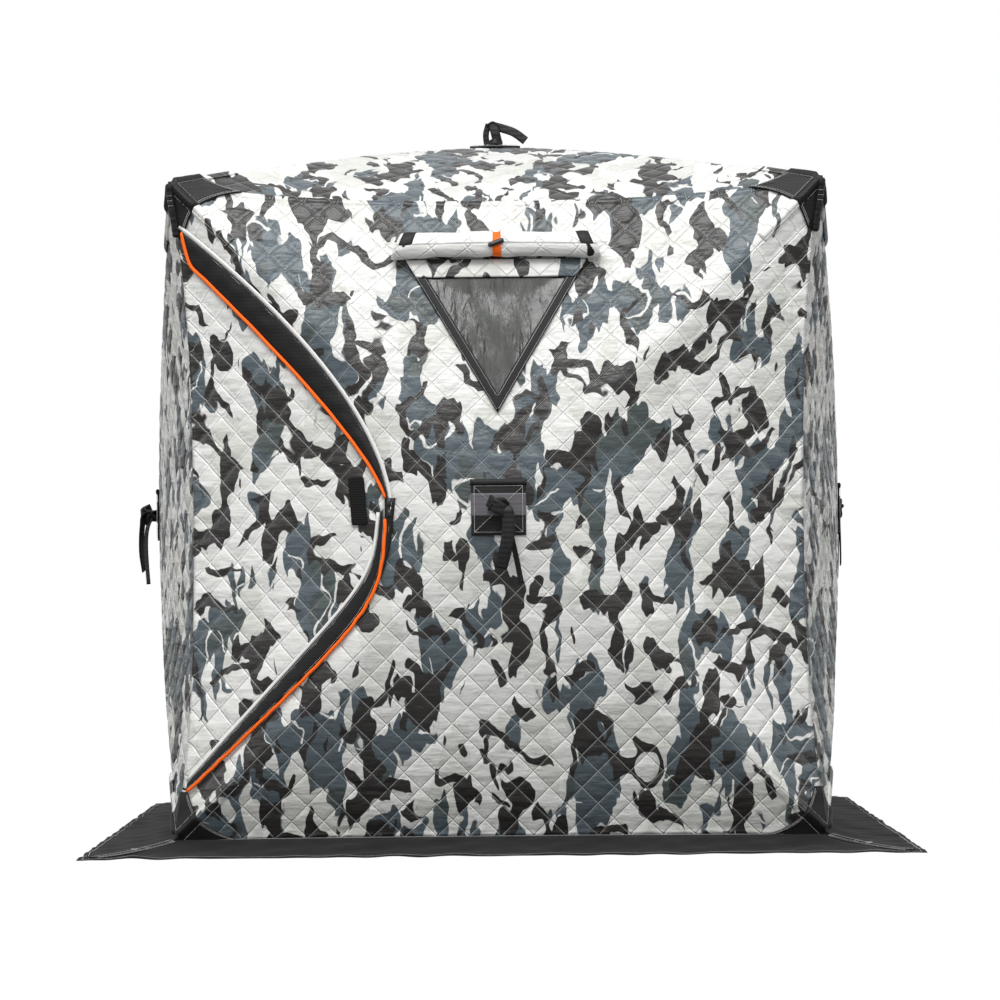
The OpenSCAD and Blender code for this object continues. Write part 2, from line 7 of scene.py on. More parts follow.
import bpy
import numpy as np
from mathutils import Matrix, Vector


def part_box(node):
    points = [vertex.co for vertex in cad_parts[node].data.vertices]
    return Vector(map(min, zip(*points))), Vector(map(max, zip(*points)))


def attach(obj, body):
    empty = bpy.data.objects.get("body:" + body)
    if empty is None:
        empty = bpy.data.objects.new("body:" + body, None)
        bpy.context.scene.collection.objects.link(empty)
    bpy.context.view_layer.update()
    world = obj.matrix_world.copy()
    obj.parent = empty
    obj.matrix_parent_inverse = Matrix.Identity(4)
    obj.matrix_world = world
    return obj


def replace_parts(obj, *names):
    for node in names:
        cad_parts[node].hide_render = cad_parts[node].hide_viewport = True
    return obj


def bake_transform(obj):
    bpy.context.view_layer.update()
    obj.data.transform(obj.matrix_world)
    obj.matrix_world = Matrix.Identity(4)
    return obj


bl_info = {
    "name": "Pop-up Ice Fishing Hut",
    "version": (1, 0, 0),
    "blender": (4, 5, 0),
    "location": "3D View > Sidebar > Ice Hut",
    "description": "Quilted pop-up ice fishing hut built round its fixed frame",
    "category": "Add Mesh",
}

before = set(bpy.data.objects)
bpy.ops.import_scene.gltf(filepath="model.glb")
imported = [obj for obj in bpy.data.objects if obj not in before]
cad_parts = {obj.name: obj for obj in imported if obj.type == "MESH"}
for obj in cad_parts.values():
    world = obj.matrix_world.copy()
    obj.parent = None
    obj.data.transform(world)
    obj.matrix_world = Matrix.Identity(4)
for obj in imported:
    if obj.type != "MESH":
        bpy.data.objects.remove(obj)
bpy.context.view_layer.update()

# ---------------------------------------------------------------- the hut's form
WALL_LOW, WALL_HIGH = (np.array(corner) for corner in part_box("front_wall"))
HALF = float(WALL_HIGH[0])
HALF_H = float(WALL_HIGH[2] - WALL_LOW[2]) / 2
MID = float(WALL_LOW[2]) + HALF_H
TOP = float(WALL_HIGH[2])
SKIRT_OUT = -float(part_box("skirt_front")[0][1]) - HALF
WALL_BULGE, ROOF_BULGE = 0.123, 0.195
SEAM_SAG, HEM_SAG, SAG_POWER, POLE_BOW = 0.053, 0.045, 2.6, 0.4
FABRIC_T, TRIM_T, SKIN_GAP = 0.006, 0.002, 0.0004
GROUND_GAP = float(WALL_LOW[2])

Face = namedtuple("Face", "half_w half_h bulge low_up low_in low_out place")
FACES = {
    "front": Face(HALF, HALF_H, WALL_BULGE, 0, HEM_SAG, 0,
                  lambda u, v, w: np.stack([u, -HALF - w, MID + v], -1)),
    "back": Face(HALF, HALF_H, WALL_BULGE, 0, HEM_SAG, 0,
                 lambda u, v, w: np.stack([-u, HALF + w, MID + v], -1)),
    "left": Face(HALF, HALF_H, WALL_BULGE, 0, HEM_SAG, 0,
                 lambda u, v, w: np.stack([-HALF - w, -u, MID + v], -1)),
    "right": Face(HALF, HALF_H, WALL_BULGE, 0, HEM_SAG, 0,
                  lambda u, v, w: np.stack([HALF + w, u, MID + v], -1)),
    "roof": Face(HALF, HALF, ROOF_BULGE, SEAM_SAG, SEAM_SAG, 1,
                 lambda u, v, w: np.stack([u, v, TOP + w], -1)),
}
WALLS = ("front", "back", "left", "right")

# Zip line on the front face as handles of cubic curves, in shares of the half width and half height:
# a short lead-in from the corner seam, the two curves of the door, and a short lead-out.
ZIP_CURVES = (
    ((-0.966, 0.850), (-0.954, 0.775), (-0.944, 0.752), (-0.928, 0.736)),
    ((-0.928, 0.736), (-0.808, 0.618), (-0.406, 0.223), (-0.344, 0.033)),
    ((-0.344, 0.033), (-0.353, -0.290), (-0.334, -0.268), (-0.928, -0.821)),
    ((-0.928, -0.821), (-0.940, -0.832), (-0.955, -0.846), (-0.968, -0.852)),
)
UPPER_FLAP_EDGE = ((-0.977, 0.864), (-0.778, 0.705), (-0.346, 0.325), (-0.330, -0.010))
LOWER_FLAP_EDGE = ((-0.362, -0.010), (-0.383, -0.253), (-0.400, -0.209), (-0.962, -0.822))
# The zip's apex, where the upper and lower curves meet, in metres on the front face.
APEX_U, APEX_V = ZIP_CURVES[1][3][0] * HALF, ZIP_CURVES[1][3][1] * HALF_H
# Clearances of sewn-on pieces over the quilting, and of the door's edge inside the zip line.
FLAP_LIFT, EDGE_LIFT, TAB_LIFT, WELT_GAP = 0.0008, 0.0006, 0.0006, 0.003
# How the print's coordinates are pushed about: cycles a metre and reach in metres. PRINT_STEP is how
# much further along the print each face starts, in metres.
PRINT_SHOVES = ((8.0, 0.10), (26.0, 0.034))
PRINT_STEP = 2.7
# The window's binding: half its width, its height and its top edge on the front face.
WINDOW_HALF, WINDOW_HIGH, WINDOW_TOP = 0.254, 0.430, 0.690
# Width of its tape, and how far inside its outer edge the wall's hole starts.
BINDING_W, WINDOW_HOLE = 0.026, 0.013
# The rolled cover: half its length, its axis on the front face and out from it, and its lean.
ROLL_HALF, ROLL_V, ROLL_OUT, ROLL_LEAN = 0.272, 0.729, 0.036, 0.14
# Width that the skirt is cut to, and half a corner tab's width along X or Y: 44 mm across the mitre.
SKIRT_CUT, TAB_HALF = 0.252, 0.0155
# Height of a corner patch's stitches over the quilting.
SEAM_LIFT = 0.0036


class FabricSizes(bpy.types.PropertyGroup):
    """Sizes of the quilting, stitching and trim."""
    grid: bpy.props.IntProperty(
        name="Cells a side", description="Mesh cells along a side of a face", default=200, min=40)
    quilt_cells: bpy.props.IntProperty(
        name="Cells a diamond", description="Mesh cells along a diamond's diagonal, 9 mm each",
        default=10, min=4)
    quilt_depth: bpy.props.FloatProperty(
        name="Quilt depth", description="Depth of a stitch line below the puffed fabric",
        default=0.0044, unit="LENGTH")
    stitch_pitch: bpy.props.FloatProperty(
        name="Stitch pitch", description="Distance from one stitch to the next",
        default=0.0048, unit="LENGTH")
    thread_r: bpy.props.FloatProperty(
        name="Thread radius", description="Radius of a stitch, drawn heavy enough to show",
        default=0.0008, unit="LENGTH")
    piping_r: bpy.props.FloatProperty(
        name="Piping radius", description="Radius of the orange piping", default=0.0047, unit="LENGTH")
    sleeve_l: bpy.props.FloatProperty(
        name="Pole sleeve length", description="Length of the sleeve over a pole's end, from the corner",
        default=0.235, unit="LENGTH")


def linear(code):
    """Linear RGBA of an sRGB hex colour: x / 12.92 below 0.04045, else ((x + 0.055) / 1.055) ^ 2.4."""
    rgb = np.array([int(code[i:i + 2], 16) for i in (1, 3, 5)]) / 255
    rgb = np.where(rgb <= 0.04045, rgb / 12.92, ((rgb + 0.055) / 1.055) ** 2.4)
    return (float(rgb[0]), float(rgb[1]), float(rgb[2]), 1.0)


def colour(name, about, code):
    """A colour property whose default is an sRGB hex value."""
    return bpy.props.FloatVectorProperty(
        name=name, description=about, default=linear(code), size=4, min=0, max=1, subtype="COLOR")


class HutColours(bpy.types.PropertyGroup):
    """Colours of the hut's fabrics and fittings."""
    snow: colour("Snow white", "Ground colour of the camouflage print", "#DCDCD9")
    slate: colour("Slate", "Main blotches of the print", "#4E595F")
    deep_slate: colour("Green slate", "Greener parts of the blotches", "#454E4D")
    bark: colour("Bark", "Branch shapes of the print", "#292726")
    cream: colour("Cream", "Second pale ground of the print", "#D0D1CB")
    oxford: colour("Black oxford", "Patches, flaps and bindings", "#111112")
    webbing: colour("Webbing", "Pull straps and tapes", "#0F0F10")
    skirt: colour("Skirt", "Ground skirt", "#080809")
    thread: colour("Thread", "White top stitching", "#E0E0DE")
    blaze: colour("Blaze orange", "Zip piping and roll strap", "#FF6A13")
    band: colour("Grey band", "Band across a hub patch", "#5F5D61")
    lining: colour("Lining", "Inside of the quilted fabric", "#2A2B2E")


class StageSettings(bpy.types.PropertyGroup):
    """Camera and light."""
    distance: bpy.props.FloatProperty(
        name="Camera distance", description="From the hut's middle to the camera", default=10.95,
        unit="LENGTH")
    height: bpy.props.FloatProperty(
        name="Camera height", description="Height of the camera", default=0.80, unit="LENGTH")
    lens: bpy.props.FloatProperty(
        name="Lens", description="Focal length on a 36 mm sensor", default=131.0, unit="CAMERA")
    roll: bpy.props.FloatProperty(
        name="Roll", description="Roll of the camera", default=math.radians(0.55), subtype="ANGLE")
    sky: bpy.props.FloatProperty(
        name="Studio fill", description="Strength of the even light from all round", default=0.29)
    key_light: bpy.props.FloatProperty(
        name="Key light", description="Power of the softbox in front and above", default=440.0, min=0)
    top_light: bpy.props.FloatProperty(
        name="Top light", description="Power of the softbox over the roof", default=30.0, min=0)
    front_light: bpy.props.FloatProperty(
        name="Front light", description="Power of the low softbox that faces the front wall",
        default=60.0, min=0)
    side_light: bpy.props.FloatProperty(
        name="Side light", description="Power of the softboxes on the left and right", default=130.0, min=0)


# ---------------------------------------------------------------- surfaces
def smooth(x):
    """3 x^2 - 2 x^3 with x held between 0 and 1."""
    x = np.clip(x, 0, 1)
    return x * x * (3 - 2 * x)


def face_uvw(face, a, b, g=0.0):
    """Places on a face for a and b from -1 to 1, g metres outside it. r is the larger of |a| and |b|
    and t the other over r. The pole lifts the face by bulge * (1 - r) * (1 + bow * r), and each side
    is pulled in by sag * (1 - |t|^power) * r^2, in the face and across it."""
    r = np.maximum(np.abs(a), np.abs(b))
    across = np.abs(a) >= np.abs(b)
    t = np.where(across, b, a) / np.maximum(r, 1e-9)
    q = (1 - np.abs(t) ** SAG_POWER) * r * r
    low = ~across & (b < 0)
    u = (face.half_w + g) * a - np.where(across, np.sign(a) * SEAM_SAG * q, 0)
    v = ((face.half_h + g * np.where(b < 0, face.low_out, 1)) * b
         + np.where(across, 0, np.where(low, face.low_up, -SEAM_SAG) * q))
    w = (g + face.bulge * (1 - r) * (1 + POLE_BOW * r)
         - np.where(low, face.low_in, SEAM_SAG) * q)
    return u, v, w


def face_point(name, a, b, g=0.0):
    """The same as points of the hut."""
    return FACES[name].place(*face_uvw(FACES[name], a, b, g))


def square_of(name, u, v):
    """a and b of the face's point at u and v, by repeated correction."""
    face = FACES[name]
    a, b = u / face.half_w, v / face.half_h
    for _ in range(30):
        fu, fv, _w = face_uvw(face, a, b)
        a = np.clip(a + (u - fu) / face.half_w, -1, 1)
        b = np.clip(b + (v - fv) / face.half_h, -1, 1)
    return a, b


def on_face(name, u, v, g):
    """Point of the hut over a face's u and v, g metres outside its surface."""
    u, v = np.broadcast_arrays(np.asarray(u, float), np.asarray(v, float))
    a, b = square_of(name, u, v)
    return FACES[name].place(u, v, face_uvw(FACES[name], a, b)[2] + g)


def ripples(x, y, size, seed):
    """Sum of seven sine waves of about that wavelength in seeded directions, from about -1 to 1."""
    rng = np.random.default_rng(seed)
    turn, phase = rng.uniform(0, 2 * np.pi, (2, 7))
    length = size * rng.uniform(0.7, 1.5, 7)
    angle = (np.multiply.outer(x, np.cos(turn) / length) + np.multiply.outer(y, np.sin(turn) / length))
    return np.sin(2 * np.pi * angle + phase).sum(-1) / 7 * 1.6


def bezier(handles, count):
    """Cubic curve (1-t)^3 A + 3 (1-t)^2 t B + 3 (1-t) t^2 C + t^3 D at count points."""
    t = np.linspace(0, 1, count)[:, None]
    a, b, c, d = (np.array(h, float) for h in handles)
    return (1 - t) ** 3 * a + 3 * (1 - t) ** 2 * t * b + 3 * (1 - t) * t * t * c + t ** 3 * d


def zip_line(first, last, count=30):
    """Points of the zip line's curves from first to last, in metres on the front face."""
    parts = [bezier(ZIP_CURVES[k], count)[(k > first):] for k in range(first, last + 1)]
    return np.concatenate(parts) * (HALF, HALF_H)


def flap_edge(handles, count):
    """Outer edge of a flap, in metres on the front face."""
    return bezier(handles, count) * (HALF, HALF_H)


def beside(line, d):
    """The line moved by d to its left when walked from first to last."""
    along = np.gradient(line, axis=0)
    along /= np.linalg.norm(along, axis=1, keepdims=True)
    return line + d * np.stack([-along[:, 1], along[:, 0]], -1)


def resampled(line, count):
    """count points evenly spaced along a line of points."""
    reach = np.concatenate([[0], np.cumsum(np.linalg.norm(np.diff(line, axis=0), axis=1))])
    at = np.linspace(0, reach[-1], count)
    return np.stack([np.interp(at, reach, line[:, k]) for k in range(line.shape[1])], -1)


def length_of(line):
    """Length of a line of points."""
    return float(np.linalg.norm(np.diff(line, axis=0), axis=1).sum())


def inside(outline, x, y):
    """True where x, y is inside a closed outline: an odd number of its edges lie to the right."""
    p, q = outline, np.roll(outline, -1, axis=0)
    px, py, qx, qy = p[:, 0], p[:, 1], q[:, 0], q[:, 1]
    x, y = x[..., None], y[..., None]
    crosses = (py > y) != (qy > y)
    rise = np.where(qy == py, 1, qy - py)
    return (crosses & (x < (qx - px) * (y - py) / rise + px)).sum(-1) % 2 == 1


def nearest(line, points):
    """Nearest point of a line of points to each point."""
    p, d = line[:-1], np.diff(line, axis=0)
    t = ((points[:, None] - p) * d).sum(-1) / np.maximum((d * d).sum(-1), 1e-12)
    foot = p + np.clip(t, 0, 1)[..., None] * d
    best = np.linalg.norm(points[:, None] - foot, axis=2).argmin(1)
    return foot[np.arange(len(points)), best]


# ---------------------------------------------------------------- meshes
def piece(name, points, faces, material, slot, body="root", uv=None, which=None, soft=True):
    """A mesh piece. faces is a list of arrays of vertex numbers, uv one pair a vertex, and which one
    material number a face. Points that no face uses are left out."""
    used = np.unique(np.concatenate([group.ravel() for group in faces]))
    back = np.full(len(points), -1)
    back[used] = np.arange(len(used))
    faces = [back[group] for group in faces]
    flat = [f for group in faces for f in group.tolist()]
    mesh = bpy.data.meshes.new(name)
    mesh.from_pydata(points[used].tolist(), [], flat)
    for each in (material if isinstance(material, (list, tuple)) else [material]):
        mesh.materials.append(each)
    if which is not None:
        mesh.polygons.foreach_set("material_index", np.asarray(which, dtype=np.int32))
    mesh.polygons.foreach_set("use_smooth", np.full(len(flat), soft))
    if uv is not None:
        layer = mesh.uv_layers.new(name="Fabric")
        corner = np.concatenate([group.ravel() for group in faces])
        layer.data.foreach_set("uv", uv[used][corner].ravel())
    mesh.update()
    obj = bpy.data.objects.new(name, mesh)
    bpy.context.scene.collection.objects.link(obj)
    if body:
        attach(obj, body)
    return obj


# Points nearer to each other than this many metres are in the same place.
SAME = 1e-7


def rim_edges(tris):
    """Directed edges of triangles that no other triangle shares."""
    edges = np.concatenate([tris[:, [0, 1]], tris[:, [1, 2]], tris[:, [2, 0]]])
    big = edges.max() + 1
    code, back = edges[:, 0] * big + edges[:, 1], edges[:, 1] * big + edges[:, 0]
    return edges[~np.isin(code, back)]


def welded(points, faces):
    """Faces that share one corner wherever points lie in the same place: a side that has shrunk to
    nothing leaves a triangle, and a pair of equal faces back to back, as at a seam, goes."""
    _, first, same = np.unique(np.round(points, 7), axis=0, return_index=True, return_inverse=True)
    kept = []
    for group in faces:
        group = first[same.ravel()][group]
        turns = group != np.roll(group, 1, axis=1)
        sides = turns.sum(1)
        kept += [group[sides == 4], group[sides == 3][turns[sides == 3]].reshape(-1, 3)]
    whole = []
    for group in kept:
        _, which, times = np.unique(np.sort(group, axis=1), axis=0, return_inverse=True,
                                    return_counts=True)
        whole.append(group[times[which.ravel()] == 1])
    return whole


def outward(points, faces):
    """Faces of a closed solid, turned over if they look inwards: six times its volume is the sum over
    its triangles of p . (q x s), measured from its middle, and that is negative when they do."""
    away = points - points.mean(0)
    volume = 0.0
    for group in faces:
        for k in range(1, group.shape[1] - 1):
            p, q, s = away[group[:, 0]], away[group[:, k]], away[group[:, k + 1]]
            volume += float((p * np.cross(q, s)).sum())
    return faces if volume > 0 else [np.roll(group[:, ::-1], 1, axis=1) for group in faces]


def slab(top, under):
    """Closed thin solid between two grids of points, with quads on every side that face outwards, and
    a uv in metres."""
    rows, cols = top.shape[:2]
    count = rows * cols
    ids = np.arange(count).reshape(rows, cols)
    quad = np.stack([ids[:-1, :-1], ids[:-1, 1:], ids[1:, 1:], ids[1:, :-1]], -1).reshape(-1, 4)
    loop = np.concatenate([ids[0, :-1], ids[:-1, -1], ids[-1, :0:-1], ids[:0:-1, 0]])
    turn = np.roll(loop, -1)
    rim = np.stack([turn, loop, loop + count, turn + count], -1)
    points = np.concatenate([top.reshape(-1, 3), under.reshape(-1, 3)])
    across = np.concatenate([np.zeros((rows, 1)),
                             np.cumsum(np.linalg.norm(np.diff(top, axis=1), axis=2), 1)], 1)
    along = np.concatenate([np.zeros((1, cols)),
                            np.cumsum(np.linalg.norm(np.diff(top, axis=0), axis=2), 0)], 0)
    uv = np.tile(np.stack([across, along], -1).reshape(-1, 2), (2, 1))
    faces = [quad, quad[:, ::-1] + count, rim]
    if np.ptp(top[0], axis=0).max() < SAME or np.ptp(top[-1], axis=0).max() < SAME or np.abs(
            top[:, 0] - top[:, -1]).max() < SAME:
        faces = welded(points, faces)
    return points, outward(points, faces), uv


def joined(solids):
    """Several (points, faces, uv) as one."""
    points, faces, uvs, start = [], [], [], 0
    for pts, groups, uv in solids:
        points.append(pts)
        faces += [np.asarray(g) + start for g in groups]
        uvs.append(uv)
        start += len(pts)
    return np.concatenate(points), faces, np.concatenate(uvs)


def tube(path, radius, sides=10, flat=1.0, up=(0, 0, 1)):
    """Closed tube along a path. Ring k of the circle stands at path point k across its direction, its height
    times flat; the first and last rings are 0.55 times as wide and flat caps close the ends."""
    path = np.asarray(path, float)
    along = np.gradient(path, axis=0)
    along /= np.linalg.norm(along, axis=1, keepdims=True)
    side = np.cross(np.asarray(up, float), along)
    side /= np.linalg.norm(side, axis=1, keepdims=True)
    lift = np.cross(along, side)
    turn = 2 * np.pi * np.arange(sides) / sides
    size = np.ones(len(path))
    size[0] = size[-1] = 0.55
    ring = (np.cos(turn)[None, :, None] * side[:, None]
            + flat * np.sin(turn)[None, :, None] * lift[:, None]) * size[:, None, None] * radius
    points = (path[:, None] + ring).reshape(-1, 3)
    ids = np.arange(len(points)).reshape(len(path), sides)
    nxt = np.roll(ids, -1, axis=1)
    wall = np.stack([ids[:-1], nxt[:-1], nxt[1:], ids[1:]], -1).reshape(-1, 4)
    reach = np.concatenate([[0], np.cumsum(np.linalg.norm(np.diff(path, axis=0), axis=1))])
    uv = np.stack(np.broadcast_arrays(turn[None] * radius, reach[:, None]), -1).reshape(-1, 2)
    return points, [wall, ids[:1, ::-1], ids[-1:]], uv


def ribbon(path, wide, width, thick):
    """Flat strap along a path: a rectangle with rounded long edges, width along wide at each point."""
    path = np.asarray(path, float)
    wide = np.broadcast_to(np.asarray(wide, float), path.shape).copy()
    along = np.gradient(path, axis=0)
    along /= np.linalg.norm(along, axis=1, keepdims=True)
    wide -= (wide * along).sum(1, keepdims=True) * along
    wide /= np.linalg.norm(wide, axis=1, keepdims=True)
    out = np.cross(along, wide)
    c = np.array([-0.5, -0.47, -0.25, 0, 0.25, 0.47, 0.5])
    h = np.array([0.2, 0.45, 0.5, 0.5, 0.5, 0.45, 0.2])
    flat = path[:, None] + c[None, :, None] * width * wide[:, None]
    lift = h[None, :, None] * thick * out[:, None]
    return slab(flat + lift, flat - lift)


def spline(knots, count):
    """Smooth path through knots: Catmull-Rom, each span (2P1 + (P2-P0) t + (2P0-5P1+4P2-P3) t^2 +
    (3P1-P0-3P2+P3) t^3) / 2."""
    k = np.asarray(knots, float)
    k = np.concatenate([[2 * k[0] - k[1]], k, [2 * k[-1] - k[-2]]])
    at = np.linspace(0, len(k) - 3 - 1e-9, count)
    i, t = at.astype(int), (at % 1)[:, None]
    p0, p1, p2, p3 = k[i], k[i + 1], k[i + 2], k[i + 3]
    return (2 * p1 + (p2 - p0) * t + (2 * p0 - 5 * p1 + 4 * p2 - p3) * t * t
            + (3 * p1 - p0 - 3 * p2 + p3) * t ** 3) / 2


def stitching(name, lines, body="root", blend=False):
    """White top stitches along lines of points: each is a small lens of three rings of three points,
    seven tenths of the pitch long."""
    sizes = bpy.context.scene.hut_fabric
    starts, ends = [], []
    for line in lines:
        count = max(2, int(round(length_of(line) / sizes.stitch_pitch)))
        even = resampled(line, count * 10 + 1)
        starts.append(even[0:-1:10])
        ends.append(even[7::10])
    a, c = np.concatenate(starts), np.concatenate(ends)
    along = c - a
    along /= np.maximum(np.linalg.norm(along, axis=1, keepdims=True), 1e-9)
    side = np.cross(along, (0.31, 0.85, 0.42))
    side /= np.linalg.norm(side, axis=1, keepdims=True)
    lift = np.cross(along, side)
    turn = 2 * np.pi / 3 * np.arange(3) + np.pi / 6
    ring = (np.cos(turn)[None, :, None] * side[:, None] + np.sin(turn)[None, :, None] * lift[:, None])
    rings = [m[:, None] + k * sizes.thread_r * ring for m, k in ((a, 0.5), ((a + c) / 2, 1), (c, 0.5))]
    points = np.stack(rings, 1).reshape(-1, 3)
    ids = np.arange(len(points)).reshape(len(a), 3, 3)
    nxt = np.roll(ids, -1, axis=2)
    wall = np.stack([ids[:, :-1], nxt[:, :-1], nxt[:, 1:], ids[:, 1:]], -1).reshape(-1, 4)
    faces = [wall, ids[:, 0, ::-1], ids[:, 2]]
    obj = piece(name, points, faces, finish("bonded polyester thread"), "black_webbing",
                None if blend else body, soft=True)
    if blend:
        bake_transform(obj)
    return obj


# ---------------------------------------------------------------- finishes
def node(tree, kind, links=None, **settings):
    """Adds a node with its settings, and sets or links its inputs."""
    made = tree.nodes.new(kind)
    for key, value in settings.items():
        setattr(made, key, value)
    for socket, value in (links or {}).items():
        if isinstance(value, bpy.types.NodeSocket):
            tree.links.new(value, made.inputs[socket])
        else:
            made.inputs[socket].default_value = value
    return made


def blank(name):
    """A new material with a principled surface, and its node tree."""
    made = bpy.data.materials.new(name)
    made.use_nodes = True
    return made, made.node_tree, made.node_tree.nodes["Principled BSDF"]


def maths(tree, operation, *values):
    """Result of one Math node on numbers or sockets."""
    return node(tree, "ShaderNodeMath", dict(enumerate(values)), operation=operation).outputs[0]


def mixed(tree, factor, a, b):
    """Colour a towards colour b by a factor socket."""
    return node(tree, "ShaderNodeMix", {0: factor, 6: a, 7: b}, data_type="RGBA").outputs[2]


# A Wave Texture turns by this many radians a metre at a scale of 1.
WAVE_TURNS = 20
# Length of a unit square's diagonal.
DIAGONAL = 1.4142


def quilted_polyester(name, palette, printed=True):
    """Printed, padded polyester: satin cloth with hard-edged camouflage, fine puckers along the
    quilting stitches and pale thread in them. The print has two pale grounds, slate blotches about
    100 mm wide that end in fingers 15 to 30 mm wide, a few pale cracks in them, and bark: clumps with
    branches 10 to 20 mm wide. Unprinted cloth is plain white. The print is noise cut off at a level,
    and the quilting lines cross the cloth in both diagonal directions."""
    made, tree, surface = blank(name)
    cloth = node(tree, "ShaderNodeTexCoord").outputs["UV"]

    def noise(vector, offset, scale, detail=1.0, rough=0.5, out="Fac"):
        """Noise of a stretched copy of a vector: scale is cycles a metre in each direction."""
        moved = node(tree, "ShaderNodeMapping",
                     {"Vector": vector, "Location": offset, "Scale": scale}).outputs[0]
        return node(tree, "ShaderNodeTexNoise", {
            "Vector": moved, "Scale": 1.0, "Detail": detail, "Roughness": rough}).outputs[out]

    # The print's coordinates are pushed about by two sizes of noise.
    shove = cloth
    for number, (scale, reach) in enumerate(PRINT_SHOVES):
        wobble = noise(cloth, (3.7 * number, 1.3, 0), (scale, scale * 0.7, 1), 1.0, 0.5, "Color")
        centred = node(tree, "ShaderNodeVectorMath", {0: wobble, 1: (0.5, 0.5, 0.5)},
                       operation="SUBTRACT").outputs[0]
        step = node(tree, "ShaderNodeVectorMath", {0: centred, "Scale": reach},
                    operation="SCALE").outputs[0]
        shove = node(tree, "ShaderNodeVectorMath", {0: shove, 1: step}, operation="ADD").outputs[0]
    # Tall narrow noise that breaks the upper and lower ends of blotches into fingers.
    fingers = noise(shove, (9.1, 4.4, 0), (27, 5.5, 1), 1.0)

    def over(value, level):
        """1 where value is over a level, with an edge 0.006 wide."""
        return node(tree, "ShaderNodeMapRange",
                    {"Value": value, "From Min": level - 0.003, "From Max": level + 0.003}).outputs[0]

    def fingered(value, share):
        """value + share * (fingers - 0.5)."""
        return maths(tree, "MULTIPLY_ADD", maths(tree, "SUBTRACT", fingers, 0.5), share, value)

    def thin(value, width):
        """1 where value is within width of 0.5."""
        off = maths(tree, "ABSOLUTE", maths(tree, "SUBTRACT", value, 0.5))
        return maths(tree, "SUBTRACT", 1.0, over(off, width))

    slate = over(fingered(noise(shove, (3.1, 7.7, 0), (6.6, 3.7, 1), 1.5, 0.5), 0.40), 0.540)
    greener = over(noise(shove, (13.7, 2.9, 0), (7, 5, 1)), 0.595)
    cream = over(fingered(noise(shove, (17.3, 8.1, 0), (5.5, 4, 1)), 0.25), 0.545)
    cracks = maths(tree, "MULTIPLY", thin(noise(shove, (33.4, 6.1, 0), (7, 5.5, 1)), 0.010),
                   over(noise(cloth, (5.2, 11.0, 0), (5, 5, 1)), 0.545))
    clumps = over(fingered(noise(shove, (21.3, 15.1, 0), (9.4, 6.4, 1), 0.8), 0.48), 0.614)
    branches = maths(tree, "MULTIPLY", thin(noise(shove, (41.3, 25.1, 0), (8.0, 6.0, 1), 0.5), 0.048),
                     over(noise(shove, (2.3, 35.1, 0), (8.0, 8.0, 1), 1.0), 0.51))
    bark = maths(tree, "MAXIMUM", clumps, branches)
    ground = mixed(tree, cream, palette.snow, palette.cream)
    print_colour = mixed(tree, slate, ground, mixed(tree, greener, palette.slate, palette.deep_slate))
    print_colour = mixed(tree, maths(tree, "MULTIPLY", cracks, slate), print_colour, palette.snow)
    print_colour = mixed(tree, bark, print_colour, palette.bark) if printed else palette.snow
    # Distance to the nearest stitch line of both families, in metres.
    part = node(tree, "ShaderNodeSeparateXYZ", {0: cloth})
    pitch = 2 * HALF / bpy.context.scene.hut_fabric.grid * bpy.context.scene.hut_fabric.quilt_cells
    lines = []
    for sign in (1.0, -1.0):
        total = maths(tree, "MULTIPLY_ADD", part.outputs["Y"], sign, part.outputs["X"])
        share = maths(tree, "FRACT", maths(tree, "MULTIPLY", total, 1 / pitch))
        from_middle = maths(tree, "ABSOLUTE", maths(tree, "SUBTRACT", share, 0.5))
        lines.append(maths(tree, "MULTIPLY", maths(tree, "SUBTRACT", 0.5, from_middle),
                           pitch / DIAGONAL))
    near = maths(tree, "MINIMUM", *lines)
    thread = node(tree, "ShaderNodeMapRange",
                  {"Value": near, "From Min": 0.0004, "From Max": 0.0011, "To Min": 0.34, "To Max": 0.0})
    print_colour = mixed(tree, thread.outputs[0], print_colour, palette.thread)
    # Soiling and shade: a little variation a hand's width across.
    haze = node(tree, "ShaderNodeTexNoise", {"Vector": cloth, "Scale": 6.0, "Detail": 3.0}).outputs["Fac"]
    tone = node(tree, "ShaderNodeMapRange", {"Value": haze, "To Min": 0.93, "To Max": 1.04}).outputs[0]
    shade = node(tree, "ShaderNodeVectorMath", {0: print_colour, "Scale": tone}, operation="SCALE")
    tree.links.new(shade.outputs[0], surface.inputs["Base Color"])
    # Relief: a crease 3 mm wide at each line, puckers that fade 25 mm from it, and slack wrinkles.
    crease = node(tree, "ShaderNodeMapRange", {"Value": near, "From Max": 0.0032}).outputs[0]
    pucker = node(tree, "ShaderNodeTexNoise",
                  {"Vector": cloth, "Scale": 75.0, "Detail": 2.0, "Distortion": 0.6}).outputs["Fac"]
    fade = node(tree, "ShaderNodeMapRange",
                {"Value": near, "From Max": 0.025, "To Min": 1.0, "To Max": 0.25}).outputs[0]
    wide = node(tree, "ShaderNodeMapping", {"Vector": cloth, "Scale": (9.0, 34.0, 1.0)}).outputs[0]
    wrinkle = node(tree, "ShaderNodeTexNoise", {"Vector": wide, "Scale": 1.0, "Detail": 3.0}).outputs["Fac"]
    height = maths(tree, "MULTIPLY_ADD", maths(tree, "MULTIPLY", pucker, fade), 0.9, crease)
    height = maths(tree, "MULTIPLY_ADD", wrinkle, 2.5, height)
    bump = node(tree, "ShaderNodeBump", {"Height": height, "Strength": 0.8, "Distance": 0.0028})
    tree.links.new(bump.outputs[0], surface.inputs["Normal"])
    surface.inputs["Roughness"].default_value = 0.36
    surface.inputs["IOR"].default_value = 1.46
    surface.inputs["Sheen Weight"].default_value = 0.12
    surface.inputs["Sheen Roughness"].default_value = 0.4
    return made


